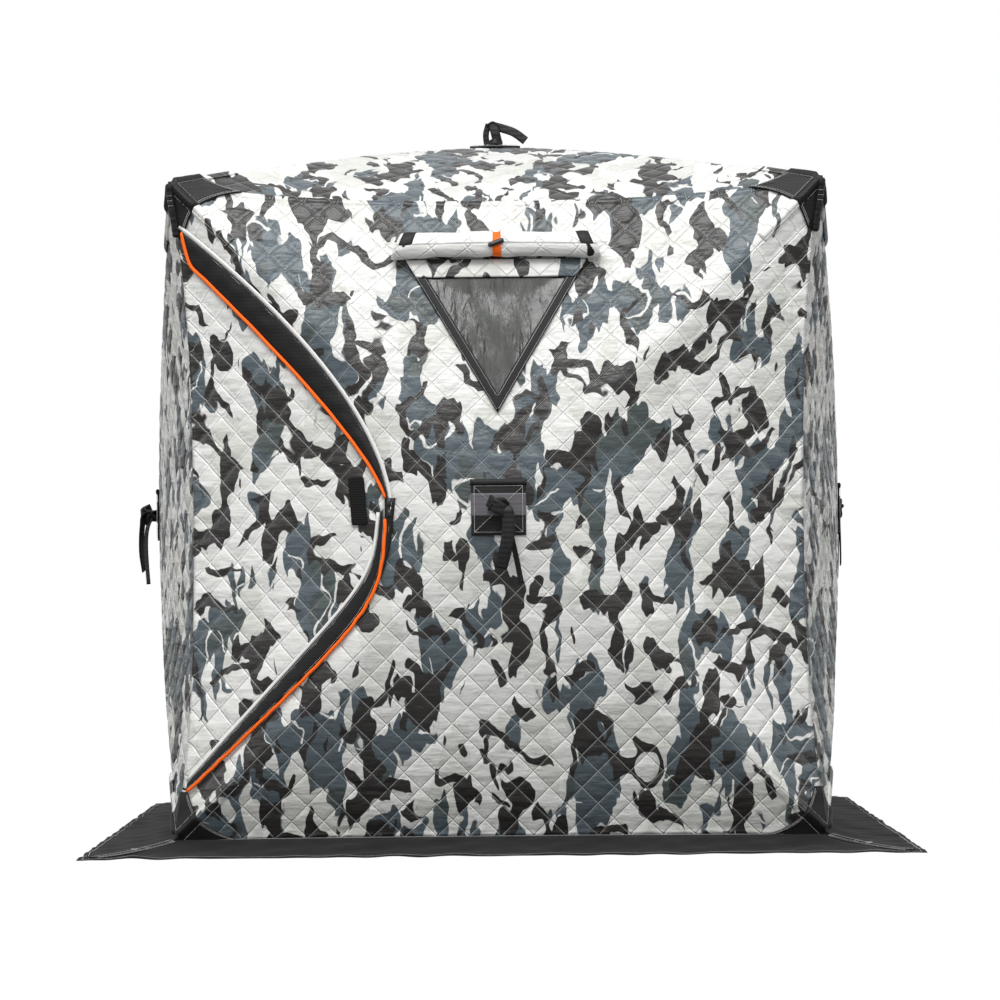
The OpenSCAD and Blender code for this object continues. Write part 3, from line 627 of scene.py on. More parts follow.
def woven(name, tint, thread, rough, relief, coarse=0.0, variation=0.12):
    """Plain-woven cloth or webbing: threads as two crossed waves, with slow rumples over them and a
    little variation of tint. One wave is 2 pi times thread long, in metres, which is coarser than the
    real weave, so that it shows."""
    made, tree, surface = blank(name)
    cloth = node(tree, "ShaderNodeTexCoord").outputs["Object"]
    bands = []
    for axis in ("X", "Z"):
        wave = node(tree, "ShaderNodeTexWave",
                    {"Vector": cloth, "Scale": 1 / (thread * WAVE_TURNS), "Distortion": 0.4,
                     "Detail": 1.0},
                    wave_type="BANDS", bands_direction=axis)
        bands.append(wave.outputs["Fac"])
    weave = maths(tree, "MULTIPLY", maths(tree, "ADD", *bands), 0.5)
    rumple = node(tree, "ShaderNodeTexNoise", {"Vector": cloth, "Scale": 28.0, "Detail": 4.0}).outputs["Fac"]
    height = maths(tree, "MULTIPLY_ADD", rumple, coarse, maths(tree, "MULTIPLY", weave, relief))
    bump = node(tree, "ShaderNodeBump", {"Height": height, "Strength": 0.6, "Distance": 0.002})
    tree.links.new(bump.outputs[0], surface.inputs["Normal"])
    tone = node(tree, "ShaderNodeMapRange",
                {"Value": rumple, "To Min": 1 - variation, "To Max": 1 + variation}).outputs[0]
    shade = node(tree, "ShaderNodeVectorMath", {0: tuple(tint)[:3], "Scale": tone}, operation="SCALE")
    tree.links.new(shade.outputs[0], surface.inputs["Base Color"])
    surface.inputs["Roughness"].default_value = rough
    surface.inputs["Specular IOR Level"].default_value = 0.24
    surface.inputs["Sheen Weight"].default_value = 0.03
    return made


def moulded(name, tint, rough, grain, metallic=0.0):
    """Moulded, drawn or plated solid: a fine grain of the given size in metres in its relief, and
    slightly uneven gloss."""
    made, tree, surface = blank(name)
    place = node(tree, "ShaderNodeTexCoord").outputs["Object"]
    speck = node(tree, "ShaderNodeTexNoise",
                 {"Vector": place, "Scale": 1 / grain, "Detail": 3.0}).outputs["Fac"]
    bump = node(tree, "ShaderNodeBump", {"Height": speck, "Strength": 0.25, "Distance": 0.0005})
    tree.links.new(bump.outputs[0], surface.inputs["Normal"])
    gloss = node(tree, "ShaderNodeMapRange",
                 {"Value": speck, "To Min": rough - 0.08, "To Max": rough + 0.08}).outputs[0]
    tree.links.new(gloss, surface.inputs["Roughness"])
    tone = node(tree, "ShaderNodeMapRange", {"Value": speck, "To Min": 0.92, "To Max": 1.08}).outputs[0]
    shade = node(tree, "ShaderNodeVectorMath", {0: tuple(tint)[:3], "Scale": tone}, operation="SCALE")
    tree.links.new(shade.outputs[0], surface.inputs["Base Color"])
    surface.inputs["Metallic"].default_value = metallic
    return made


def window_vinyl():
    """Clear flexible PVC film, 0.5 mm: glossy and rippled down its length by storage. Its colour is painted
    shade, a dark grey-green for the shaded inside of the hut seen through it, with painted sheen as lighter
    streaks along the ripples.
    """
    made, tree, surface = blank("clear flexible vinyl")
    place = node(tree, "ShaderNodeTexCoord").outputs["Object"]
    long = node(tree, "ShaderNodeMapping", {"Vector": place, "Scale": (46.0, 46.0, 5.0)}).outputs[0]
    wave = node(tree, "ShaderNodeTexNoise", {"Vector": long, "Scale": 1.0, "Detail": 3.0}).outputs["Fac"]
    bump = node(tree, "ShaderNodeBump", {"Height": wave, "Strength": 0.7, "Distance": 0.006})
    tree.links.new(bump.outputs[0], surface.inputs["Normal"])
    # Painted shade and painted sheen: dark grey-green for the shaded inside seen through the film, lightened
    # along the ripples for streaks of reflection.
    share = node(tree, "ShaderNodeMapRange",
                 {"Value": wave, "From Min": 0.35, "From Max": 0.7}).outputs[0]
    tone = mixed(tree, share, linear("#242623"), linear("#3E413B"))
    tree.links.new(tone, surface.inputs["Base Color"])
    surface.inputs["Roughness"].default_value = 0.22
    surface.inputs["IOR"].default_value = 1.53
    surface.inputs["Transmission Weight"].default_value = 0.35
    return made


def finish(name):
    """The material of that name, made on first use. Cloths give their tint, thread, roughness, weave
    relief, rumple relief and variation of tint, and solids their tint, roughness, grain and metal."""
    if name in bpy.data.materials:
        return bpy.data.materials[name]
    c = bpy.context.scene.hut_colours
    makers = {
        # Calendered and padded: satin, crossed by puckered seams, with a hard-edged print.
        "quilted polyester, snow camouflage print": lambda: quilted_polyester(name, c),
        "plain white quilted polyester": lambda: quilted_polyester(name, c, False),
        # Thin plain weave: an even, soft black.
        "black taffeta lining": lambda: woven(name, c.lining, 0.0012, 0.6, 0.2, 0.5),
        # Heavy coated weave: black with broad dull highlights where it rumples.
        "black oxford cloth": lambda: woven(name, c.oxford, 0.0016, 0.55, 0.25, 1.0),
        # Narrow woven strap: coarse ribs and a faint sheen.
        "polypropylene webbing": lambda: woven(name, c.webbing, 0.0022, 0.5, 0.6, 0.3),
        # Coated cloth that lies on snow: a deep, dull black.
        "coated skirt cloth": lambda: woven(name, c.skirt, 0.0018, 0.85, 0.2, 0.9),
        # Twisted and bonded: off-white and slightly rough.
        "bonded polyester thread": lambda: woven(name, c.thread, 0.0008, 0.6, 0.2),
        # Dyed tape: a strong orange with a fine rib.
        "orange polyester tape": lambda: woven(name, c.blaze, 0.0015, 0.55, 0.35, 0.1, 0.05),
        # Dyed band: mid grey with a fine rib.
        "grey polyester band": lambda: woven(name, c.band, 0.0018, 0.55, 0.4, 0.3),
        # Hooks and loops: a deep pile with no highlight.
        "hook-and-loop tape": lambda: woven(name, c.webbing, 0.0011, 0.9, 1.2, 0.2),
        # Injection-moulded with a fine grain: a soft grey highlight on black.
        "moulded black nylon": lambda: moulded(name, linear("#1E1E20"), 0.42, 0.0012),
        # Drawn rod: pale, with a fairly tight highlight.
        "pultruded fibreglass": lambda: moulded(name, linear("#B9BDBF"), 0.35, 0.0009),
        # Stamped and plated: bright metal, slightly clouded.
        "nickel-plated steel": lambda: moulded(name, linear("#C4C6C8"), 0.28, 0.0010, 1.0),
        "clear flexible vinyl": window_vinyl,
    }
    return makers[name]()


# ---------------------------------------------------------------- quilted faces
def print_place(face, x, y):
    """Place on the print of a face's x and y from its middle: each face starts PRINT_STEP metres
    further along."""
    start = PRINT_STEP * sorted(FACES).index(face)
    return np.stack([x + FACES[face].half_w + start, y + FACES[face].half_h], -1)


def quilted_face(face, keep=None, edges=()):
    """Quilted surface of a face on a square grid. Its depth is quilt_depth * (1 - (|sin p| |sin q|)^0.4)
    with p and q turning by pi from one stitch line to the next, plus slack ripples and puckers that
    fade from the seams. keep(x, y) says which cells stay, by metres from the face's middle, and rim
    points next to a line in edges move onto it. Returns outer and inner points, triangles and uv."""
    sizes = bpy.context.scene.hut_fabric
    n, per = sizes.grid, sizes.quilt_cells
    shape = FACES[face]
    i, j = np.meshgrid(np.arange(n + 1), np.arange(n + 1), indexing="xy")
    a, b = 2 * i / n - 1, 2 * j / n - 1
    ids = np.arange((n + 1) ** 2).reshape(n + 1, n + 1)
    v00, v10, v11, v01 = ids[:-1, :-1], ids[:-1, 1:], ids[1:, 1:], ids[1:, :-1]
    if keep is not None:
        cx, cy = a[:-1, :-1] + 1 / n, b[:-1, :-1] + 1 / n
        stays = keep(cx * shape.half_w, cy * shape.half_h)
        used = np.zeros(ids.size, int)
        for corner in (v00, v10, v11, v01):
            np.add.at(used, corner[stays], 1)
        around = np.zeros(ids.size, int)
        for corner in (v00, v10, v11, v01):
            np.add.at(around, corner.ravel(), 1)
        rim = np.flatnonzero((used > 0) & (used < around))
        flat = np.stack([a.ravel()[rim] * shape.half_w, b.ravel()[rim] * shape.half_h], -1)
        a, b = a.astype(float).ravel(), b.astype(float).ravel()
        for line in edges:
            foot = nearest(line, flat)
            close = np.linalg.norm(foot - flat, axis=1) < 0.0125
            a[rim[close]] = foot[close, 0] / shape.half_w
            b[rim[close]] = foot[close, 1] / shape.half_h
        a, b = a.reshape(n + 1, n + 1), b.reshape(n + 1, n + 1)
    puff = np.abs(np.sin(np.pi * (i + j) / per) * np.sin(np.pi * (i - j) / per)) ** 0.4
    x, y = a * shape.half_w, b * shape.half_h
    r = np.maximum(np.abs(a), np.abs(b))
    seam = (1 - r) * HALF
    along = np.where(np.abs(a) > np.abs(b), y, x)
    seed = sorted(FACES).index(face) * 10
    pucker = np.exp(-seam / 0.05) * (0.5 + 0.5 * np.sin(
        2 * np.pi * along / 0.042 + 2.2 * ripples(x, y, 0.2, seed + 3)))
    depth = (sizes.quilt_depth * (1 - puff) + 0.0022 * (0.5 - 0.5 * ripples(x, y, 0.30, seed))
             + 0.0010 * (0.5 - 0.5 * ripples(x, y, 0.09, seed + 1)) + 0.0026 * pucker)
    depth = depth * smooth(seam / 0.012)
    outer = face_point(face, a, b, -depth).reshape(-1, 3)
    inner = face_point(face, a, b, -FABRIC_T - 0.3 * depth).reshape(-1, 3)
    slanted = (i[:-1, :-1] + j[:-1, :-1] + 1) % per == 0
    pick = np.ones_like(slanted) if keep is None else stays
    main, anti = pick & ~slanted, pick & slanted
    tris = np.concatenate([np.stack([p[m], q[m], s[m]], -1) for m, p, q, s in (
        (main, v00, v10, v11), (main, v00, v11, v01), (anti, v00, v10, v01), (anti, v10, v11, v01))])
    uv = print_place(face, x, y).reshape(-1, 2)
    return outer, inner, tris, uv, ids


def whole_face(name, node_name, face):
    """A plain quilted face: the fine outer surface, a lining of every fourth point and a rim between."""
    outer, inner, tris, uv, ids = quilted_face(face)
    step = 4
    sub = ids[::step, ::step]
    q = np.stack([sub[:-1, :-1], sub[1:, :-1], sub[1:, 1:], sub[:-1, 1:]], -1).reshape(-1, 4)
    count = len(outer)
    loop = np.concatenate([ids[0, :-1], ids[:-1, -1], ids[-1, :0:-1], ids[:0:-1, 0]])
    spans = loop.reshape(-1, step)
    end = np.roll(loop, -step).reshape(-1, step)[:, :1]
    rim = np.concatenate([end, spans[:, ::-1], spans[:, :1] + count, end + count], axis=1)
    faces = [tris, q + count, rim]
    which = np.repeat([0, 1, 0], [len(f) for f in faces])
    obj = piece(name, np.concatenate([outer, inner]), faces,
                [finish("quilted polyester, snow camouflage print"), finish("black taffeta lining")],
                "quilted_snow_camo", uv=np.concatenate([uv, uv]), which=which)
    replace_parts(obj, node_name)
    return obj


def cut_face(name, keep, edges, body="root", blend=False):
    """A part of the front face with its lining, closed all round."""
    outer, inner, tris, uv, _ids = quilted_face("front", keep, edges)
    count = len(outer)
    edge = rim_edges(tris)
    rim = np.stack([edge[:, 1], edge[:, 0], edge[:, 0] + count, edge[:, 1] + count], -1)
    faces = [tris, tris[:, ::-1] + count, rim]
    which = np.repeat([0, 1, 0], [len(f) for f in faces])
    obj = piece(name, np.concatenate([outer, inner]), faces,
                [finish("quilted polyester, snow camouflage print"), finish("black taffeta lining")],
                "quilted_snow_camo", None if blend else body, uv=np.concatenate([uv, uv]), which=which)
    if blend:
        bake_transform(obj)
    return obj


def flat_line(line):
    """A line on the front face as metres on its flat cut, where seams are straight."""
    a, b = square_of("front", line[:, 0], line[:, 1])
    return np.stack([a * HALF, b * HALF_H], -1)


def door_outline(inset):
    """Closed outline of the door on the flat cut: the zip line moved in, and out past the left seam."""
    line = flat_line(beside(zip_line(0, 3), -inset))
    return np.concatenate([[(-HALF - 0.1, line[0, 1] + 0.02)], line, [(-HALF - 0.1, line[-1, 1])]]), line


def triangle(d):
    """Corners of the window's binding moved in by d: top left, top right, bottom."""
    side = math.hypot(WINDOW_HALF, WINDOW_HIGH)
    half = WINDOW_HALF - d * (side + WINDOW_HALF) / WINDOW_HIGH
    apex = WINDOW_TOP - WINDOW_HIGH + d * side / WINDOW_HALF
    return np.array([(-half, WINDOW_TOP - d), (half, WINDOW_TOP - d), (0, apex)])


def across_window(corners, s, t):
    """u and v at share s down the window's slanted sides and share t from the left one to the right."""
    s, t = s[..., None], t[..., None]
    left, right = corners[0] * (1 - s) + corners[2] * s, corners[1] * (1 - s) + corners[2] * s
    p = left * (1 - t) + right * t
    return p[..., 0], p[..., 1]


class HUT_OT_walls(bpy.types.Operator):
    """Build the quilted roof and the plain back, left and right walls"""
    bl_idname = "hut.walls"
    bl_label = "Walls and Roof"

    def execute(self, context):
        for face in ("back", "left", "right"):
            whole_face(face + "_wall_quilting", face + "_wall", face)
        whole_face("roof_quilting", "roof", "roof")
        return {"FINISHED"}


class HUT_OT_front(bpy.types.Operator):
    """Build the front wall round its door and window openings"""
    bl_idname = "hut.front_wall"
    bl_label = "Front Wall"

    def execute(self, context):
        door, line = door_outline(0.0)
        hole = flat_line(triangle(WINDOW_HOLE))
        closed = np.concatenate([hole, hole[:1]])
        wall = cut_face("front_wall_quilting",
                        lambda x, y: ~inside(door, x, y) & ~inside(hole, x, y), (line, closed))
        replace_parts(wall, "front_wall")
        return {"FINISHED"}


def strip_between(edge_a, edge_b, cols, lift, bow, seed, rumple=0.0012):
    """Strip of cloth on the front face between two lines of equal length: rows along them, columns
    across, lift metres over the quilting plus bow * sin(pi k) and a rumple."""
    k = np.linspace(0, 1, cols)[None, :, None]
    flat = edge_a[:, None] * (1 - k) + edge_b[:, None] * k
    u, v = flat[..., 0], flat[..., 1]
    g = lift + TRIM_T + bow * np.sin(np.pi * k[..., 0]) + rumple * (
        1 + ripples(u, v, 0.05, seed)) * np.sin(np.pi * k[..., 0])
    return slab(on_face("front", u, v, g), on_face("front", u, v, np.full(u.shape, lift)))


def piping(line, lift, wave, size, seed, points=160):
    """Oval tube of piping on the front face along a line, lift metres over the quilting, that strays
    to each side by wave times ripples of that size."""
    path = resampled(line, points)
    reach = np.linspace(0, length_of(path), points)
    path = beside(path, (wave * ripples(reach, reach * 0, size, seed))[:, None])
    return tube(on_face("front", path[:, 0], path[:, 1], lift), bpy.context.scene.hut_fabric.piping_r,
                10, 0.7, (0, -1, 0))


class HUT_OT_door(bpy.types.Operator):
    """Build the curved door: quilted panel, lower storm flap, lower piping and grip tab"""
    bl_idname = "hut.door"
    bl_label = "Door"

    def execute(self, context):
        outline, line = door_outline(WELT_GAP)
        panel = cut_face("door_quilting", lambda x, y: inside(outline, x, y), (line,), blend=True)
        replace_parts(panel, "door_panel", "door_welt")
        # The lower flap lies on the door between its outer edge and the piping.
        inner = resampled(beside(zip_line(2, 3), -0.004)[1:], 64)
        outer = resampled(flap_edge(LOWER_FLAP_EDGE, 200), 64)
        flap = piece("lower_storm_flap", *strip_between(outer, inner, 9, FLAP_LIFT, 0.0012, 61)[:2],
                     finish("black oxford cloth"), "black_oxford", None)
        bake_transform(flap)
        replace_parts(flap, "door_flap")
        pts, faces, uv = piping(zip_line(2, 3)[2:], 0.0055, 0.0013, 0.055, 66)
        pipe = piece("lower_orange_piping", pts, faces, finish("orange polyester tape"), "orange_binding",
                     None, uv)
        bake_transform(pipe)
        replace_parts(pipe, "door_piping")
        # The door's white folded edge shows 9 mm wide beyond the flap.
        fold = strip_between(beside(outer, -0.009), outer, 5, EDGE_LIFT, 0.0010, 63)
        edge = piece("lower_flap_white_edge", *fold[:2], finish("plain white quilted polyester"),
                     "quilted_snow_camo", None)
        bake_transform(edge)
        # Stitching along both edges of the flap.
        rows = [outer * (1 - s) + inner * s for s in (0.07, 0.16, 0.90)] + [beside(outer, -0.006)]
        stitching("lower_flap_stitching",
                  [on_face("front", r[:, 0], r[:, 1], FLAP_LIFT + TRIM_T + 0.0006) for r in rows],
                  blend=True)
        self.grip_tab()
        return {"FINISHED"}

    def grip_tab(self):
        """Hook-and-loop tab, 44 by 132 mm with rounded corners, leaning by 4 degrees."""
        k = np.linspace(-1, 1, 15)
        cu, cv = np.meshgrid(k, np.linspace(-1, 1, 31), indexing="xy")
        near = np.maximum(0, np.abs(cv) - 0.9) / 0.1
        du, dv = 0.022 * cu * np.sqrt(1 - 0.35 * near ** 2), 0.066 * cv
        lean = math.radians(4)
        u = APEX_U - 0.076 + du * math.cos(lean) - dv * math.sin(lean)
        v = APEX_V - 0.007 + dv * math.cos(lean) + du * math.sin(lean)
        top = on_face("front", u, v, 0.003 + 0.0008 * (1 - cu ** 4) * (1 - cv ** 8))
        tab = piece("hook_and_loop_tab", *slab(top, on_face("front", u, v, TAB_LIFT))[:2],
                    finish("hook-and-loop tape"), "hook_and_loop", "door")
        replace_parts(tab, "door_grip_tab")


class HUT_OT_upper_flap(bpy.types.Operator):
    """Build the upper storm flap, its piping and the zip's sliders"""
    bl_idname = "hut.upper_flap"
    bl_label = "Upper Flap and Zip"

    def execute(self, context):
        inner = resampled(beside(zip_line(0, 1), 0.003), 72)
        outer = resampled(flap_edge(UPPER_FLAP_EDGE, 200), 72)
        strip = strip_between(inner, outer, 11, FLAP_LIFT, 0.0030, 62, 0.0022)
        flap = piece("upper_storm_flap", *strip[:2], finish("black oxford cloth"), "black_oxford")
        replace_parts(flap, "upper_flap")
        pts, faces, uv = piping(zip_line(0, 1), 0.0060, 0.0008, 0.09, 67)
        pipe = piece("upper_orange_piping", pts, faces, finish("orange polyester tape"),
                     "orange_binding", "root", uv)
        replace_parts(pipe, "upper_piping")
        # The wall's white folded edge beyond the flap runs on round the apex and tapers out.
        past = np.concatenate([outer[:-1], [(-0.331 * HALF, 0.02 * HALF_H), (-0.330 * HALF, -0.02 * HALF_H),
                                            (-0.337 * HALF, -0.07 * HALF_H)]])
        past = resampled(past, 90)
        fold = beside(past, 0.0095 * smooth(np.linspace(11, 0, 90) / 1.6)[:, None] + 0.0008)
        piece("upper_flap_white_edge", *strip_between(past, fold, 5, FLAP_LIFT, 0.0012, 64)[:2],
              finish("plain white quilted polyester"), "quilted_snow_camo")
        # The zip's black tape shows beside its teeth for a short way below the apex.
        tape = resampled(zip_line(2, 2), 60)[:15]
        reach = np.stack([0.027 * (1 - np.linspace(0, 1, 15)) ** 0.7 + 0.001, np.zeros(15)], -1)
        piece("zip_tape_at_apex", *strip_between(tape, tape + reach, 5, EDGE_LIFT, 0.0010, 65)[:2],
              finish("black oxford cloth"), "black_oxford")
        rows = [inner * (1 - s) + outer * s for s in (0.89, 0.985)] + [past * 0.62 + fold * 0.38]
        stitching("upper_flap_stitching",
                  [on_face("front", r[:, 0], r[:, 1], FLAP_LIFT + TRIM_T + 0.0012) for r in rows])
        self.sliders()
        return {"FINISHED"}

    def sliders(self):
        """Two moulded sliders and a pull tab: rounded boxes on the zip below the apex, each by its drop,
        length, width and thickness."""
        solids = []
        for drop, long, wide, thick in ((0.012, 0.026, 0.013, 0.010), (0.042, 0.024, 0.013, 0.010),
                                        (0.030, 0.034, 0.009, 0.004)):
            cu, cv = np.meshgrid(np.linspace(-1, 1, 9), np.linspace(-1, 1, 9), indexing="xy")
            u = APEX_U + 0.010 + wide / 2 * np.sign(cu) * np.abs(cu) ** 0.8
            v = APEX_V - drop + long / 2 * cv
            dome = (1 - cu ** 4) * (1 - cv ** 4)
            base = on_face("front", u, v, 0.0012)
            front = base + np.array([0, -1, 0]) * (0.25 + 0.75 * dome)[..., None] * thick
            solids.append(slab(front, base))
        pts, faces, uv = joined(solids)
        made = piece("zip_slider_bodies", pts, faces, finish("moulded black nylon"), "black_nylon",
                     "root", uv)
        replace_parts(made, "zip_sliders")


# ---------------------------------------------------------------- corners
def corner_curve(leg, up, count):
    """Inner edge of a corner patch as distances from the corner: a cubic curve from leg along the top
    seam to the side seam at up."""
    return resampled(np.concatenate([
        bezier(((leg, 0), (leg * 0.65, up * 0.12), (leg * 0.33, up * 0.4), (leg * 0.12, up)), 60),
        [(0, up)]]), count)


def corner_place(face, sx, sy, x, y, g):
    """Point of a face at distances x and y from its corner, measured on the flat cut."""
    shape = FACES[face]
    return face_point(face, sx * (1 - x / shape.half_w), sy * (1 - y / shape.half_h), g)


def sleeve_lift(x, y, half=0.017, high=0.0065):
    """Height of the ridge that the pole's sleeve makes in a patch, c metres across the diagonal and s
    along it: high * sqrt(1 - (c / half)^2), fading in from the corner."""
    c = (x - y) / math.sqrt(2)
    s = (x + y) / math.sqrt(2)
    return high * np.sqrt(np.clip(1 - (c / half) ** 2, 0, 1)) * smooth((s - 0.012) / 0.02)


def corner_patch(face, sx, sy, leg, up):
    """Patch between the corner and its curve: rows from the corner out, columns along the curve, lying
    on the quilting with the sleeve's ridge in it. Returns its solid, its stitch lines and how far it
    reaches along the diagonal."""
    edge = corner_curve(leg, up, 45)
    k = (np.linspace(0, 1, 29) ** 0.9)[:, None]
    x, y = edge[None, :, 0] * k, edge[None, :, 1] * k
    if sx * sy < 0:
        x, y = x[:, ::-1], y[:, ::-1]
    lift = sleeve_lift(x, y)
    rumple = 0.0008 * (1 + ripples(x, y + 3 * sx + 5 * sy, 0.045, 7)) * smooth((1 - k) / 0.1)
    top = corner_place(face, sx, sy, x, y, SKIN_GAP + TRIM_T + lift + rumple)
    under = corner_place(face, sx, sy, x, y, np.full(x.shape, SKIN_GAP))
    lines = []
    for inset in (0.975, 0.93):
        c = corner_curve(leg, up, 61)[:-6] * inset
        lines.append(corner_place(face, sx, sy, c[:, 0], c[:, 1], SEAM_LIFT))
    cross = float(np.interp(0, edge[:, 1] - edge[:, 0], edge[:, 0]))
    s = np.linspace(0.02, cross * math.sqrt(2) - 0.004, 30) / math.sqrt(2)
    for c in (-0.0185, 0.0185):
        d = c / math.sqrt(2)
        lines.append(corner_place(face, sx, sy, np.maximum(s + d, 0.001), np.maximum(s - d, 0.001),
                                  SEAM_LIFT))
    return slab(top, under), lines, cross * math.sqrt(2)


def pole_sleeve(face, sx, sy, start, end):
    """Camouflage sleeve sewn over the pole's end beyond the patch, with a square end."""
    s, c = np.meshgrid(np.linspace(start, end, 25), np.linspace(-0.0175, 0.0175, 13), indexing="ij")
    if sx * sy < 0:
        c = -c
    x, y = (s + c) / math.sqrt(2), (s - c) / math.sqrt(2)
    lift = 0.0008 + 0.0024 * np.sqrt(np.clip(1 - (c / 0.0172) ** 2, 0, 1)) * smooth((end - s) / 0.01 + 0.15)
    top = corner_place(face, sx, sy, x, y, lift)
    under = corner_place(face, sx, sy, x, y, np.full(x.shape, -0.0030))
    lines = [corner_place(face, sx, sy, (s[:, 0] + d) / math.sqrt(2), (s[:, 0] - d) / math.sqrt(2), 0.0016)
             for d in (-0.019, 0.019)]
    across = np.linspace(-0.017, 0.017, 9)
    lines.append(corner_place(face, sx, sy, (end + across) / math.sqrt(2), (end - across) / math.sqrt(2),
                              0.0022))
    points, faces, _uv = slab(top, under)
    flat = print_place(face, sx * (FACES[face].half_w - x), sy * (FACES[face].half_h - y))
    return (points, faces, np.tile(flat.reshape(-1, 2), (2, 1))), lines


class HUT_OT_corners(bpy.types.Operator):
    """Build the black corner patches, the pole sleeves and the webbing tubes with their bar tacks"""
    bl_idname = "hut.corners"
    bl_label = "Corner Patches"

    def execute(self, context):
        reach = context.scene.hut_fabric.sleeve_l
        top, low, sleeves, seams = [], [], [], []
        for face in FACES:
            for sx in (-1, 1):
                for sy in (-1, 1):
                    roof = face == "roof"
                    leg, up = (0.200, 0.200) if roof else (0.200, 0.140) if sy > 0 else (0.165, 0.132)
                    solid, lines, start = corner_patch(face, sx, sy, leg, up)
                    (top if roof or sy > 0 else low).append(solid)
                    sleeve, more = pole_sleeve(face, sx, sy, start - 0.002, reach)
                    sleeves.append(sleeve)
                    seams += lines + more
        for name, solids, node_name in (("top_corner_patch_cloth", top, "top_corner_patches"),
                                        ("bottom_corner_patch_cloth", low, "bottom_corner_patches")):
            pts, faces, uv = joined(solids)
            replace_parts(piece(name, pts, faces, finish("black oxford cloth"), "black_oxford", "root", uv),
                        node_name)
        pts, faces, uv = joined(sleeves)
        piece("pole_sleeves", pts, faces, finish("quilted polyester, snow camouflage print"),
              "quilted_snow_camo", "root", uv)
        tubes, tacks = self.webbing()
        pts, faces, uv = joined(tubes)
        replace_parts(piece("corner_webbing_tubes", pts, faces, finish("polypropylene webbing"),
                          "black_webbing", "root", uv), "corner_webbing")
        stitching("corner_patch_stitching", seams + tacks)
        return {"FINISHED"}

    def webbing(self):
        """A tube of webbing down the seam below each top corner, flattened against it, with bar tacks."""
        tubes, tacks = [], []
        for sx in (-1, 1):
            for sy in (-1, 1):
                t = np.linspace(0.997, 0.835, 26)
                q = SEAM_SAG * (1 - t ** SAG_POWER)
                out = HALF - q + 0.0045
                path = np.stack([sx * out, sy * out, MID + HALF_H * t], -1)
                path[:, :2] += 0.0006 * np.sin(t * 260)[:, None]
                tubes.append(tube(path, 0.0115, 14, 0.62, (sx, sy, 0)))
                for z in (0.93, 0.945, 0.96):
                    turn = np.linspace(-1.25, 1.25, 12)
                    outward = np.array([sx, sy, 0]) / math.sqrt(2)
                    side = np.array([-sy, sx, 0]) / math.sqrt(2)
                    qz = SEAM_SAG * (1 - z ** SAG_POWER)
                    middle = np.array([sx * (HALF - qz + 0.0045), sy * (HALF - qz + 0.0045),
                                       MID + HALF_H * z])
                    tacks.append(middle + np.cos(turn)[:, None] * outward * 0.0078
                                 + np.sin(turn)[:, None] * side * 0.0122)
        return tubes, tacks


# ---------------------------------------------------------------- skirt
def skirt_height(k):
    """Height of the skirt's upper face at share k of its width: it falls as (1 - k)^2."""
    return (GROUND_GAP - 0.0023) * (1 - k) ** 2 + 0.002


class HUT_OT_skirt(bpy.types.Operator):
    """Build the ground skirt and its corner tabs"""
    bl_idname = "hut.skirt"
    bl_label = "Ground Skirt"

    def execute(self, context):
        lines = []
        for n, face in enumerate(WALLS):
            # k runs from the hem in to the wall and t along it; ends fades the waves at the mitres.
            k, t = np.meshgrid(np.linspace(1, 0, 25), np.linspace(-1, 1, 181), indexing="ij")
            inner_out = -HEM_SAG * (1 - np.abs(t) ** SAG_POWER) + 0.0003
            ends = smooth((1 - np.abs(t)) / 0.06)
            wave = 0.0055 * ripples(t * HALF, t * 0, 0.16, 80 + n) * ends * smooth((k - 0.3) / 0.7)
            u = (HALF + k * SKIRT_OUT) * t * 0.9995
            w = inner_out * (1 - k) + SKIRT_OUT * k - np.abs(wave)
            rumple = 0.0030 * (1 + ripples(u, w, 0.13, 90 + n)) * ends * smooth(k / 0.15)
            curl = 0.0018 * (1 + ripples(t * HALF, t * 0, 0.09, 95 + n)) * ends
            z = skirt_height(k) + (rumple * smooth((1.02 - k) / 0.1) + curl * smooth((k - 0.7) / 0.3))
            place = FACES[face].place
            top = place(u, z - MID, w)
            pts, faces, uv = slab(top, place(u, z - 0.0018 - MID, w))
            skirt = piece("skirt_cloth_" + face, pts, faces, finish("coated skirt cloth"),
                          "skirt_fabric", "root", uv)
            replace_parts(skirt, "skirt_" + face)
            lines.append(place(u[1], z[1] + 0.0008 - MID, w[1] - 0.004))
        self.tabs(lines)
        stitching("skirt_stitching", lines)
        return {"FINISHED"}

    def tabs(self, lines):
        """Folded tab over each corner's mitre: a strip 44 mm wide from the wall out past the eyelet,
        with two rows of stitches near each edge and bar tacks. c goes over it in half widths, and its
        fold stands 3.5 mm * (1 - |c|)^0.6 high."""
        s, c = np.meshgrid(np.linspace(0.03, 0.84, 31), np.linspace(-1, 1, 13), indexing="ij")
        row, tack = np.linspace(0.05, 0.82, 40), np.linspace(-0.8, 0.8, 9)

        def fold(c):
            """Height of the fold."""
            return 0.0035 * (1 - np.abs(c)) ** 0.6

        solids = []
        for sx in (-1, 1):
            for sy in (-1, 1):
                def at(s, c, g):
                    """Point at share s of the skirt's width and c half widths beside the mitre."""
                    over = s * SKIRT_OUT
                    z = skirt_height(s + np.abs(c) * TAB_HALF / SKIRT_OUT) + g
                    return np.stack([sx * (HALF + over - c * TAB_HALF),
                                     sy * (HALF + over + c * TAB_HALF), z], -1)

                solids.append(slab(at(s, c, 0.0016 + fold(c)), at(s, c, 0.0004 + 0 * c)))
                for side in (-0.8, -0.55, 0.55, 0.8):
                    lines.append(at(row, side + 0 * row, 0.0028 + fold(side)))
                for end in (0.06, 0.085, 0.30, 0.325):
                    lines.append(at(end + 0 * tack, tack, 0.0030 + fold(tack)))
        pts, faces, uv = joined(solids)
        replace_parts(piece("skirt_corner_tab_cloth", pts, faces, finish("coated skirt cloth"),
                          "black_webbing", "root", uv), "skirt_corner_tabs")


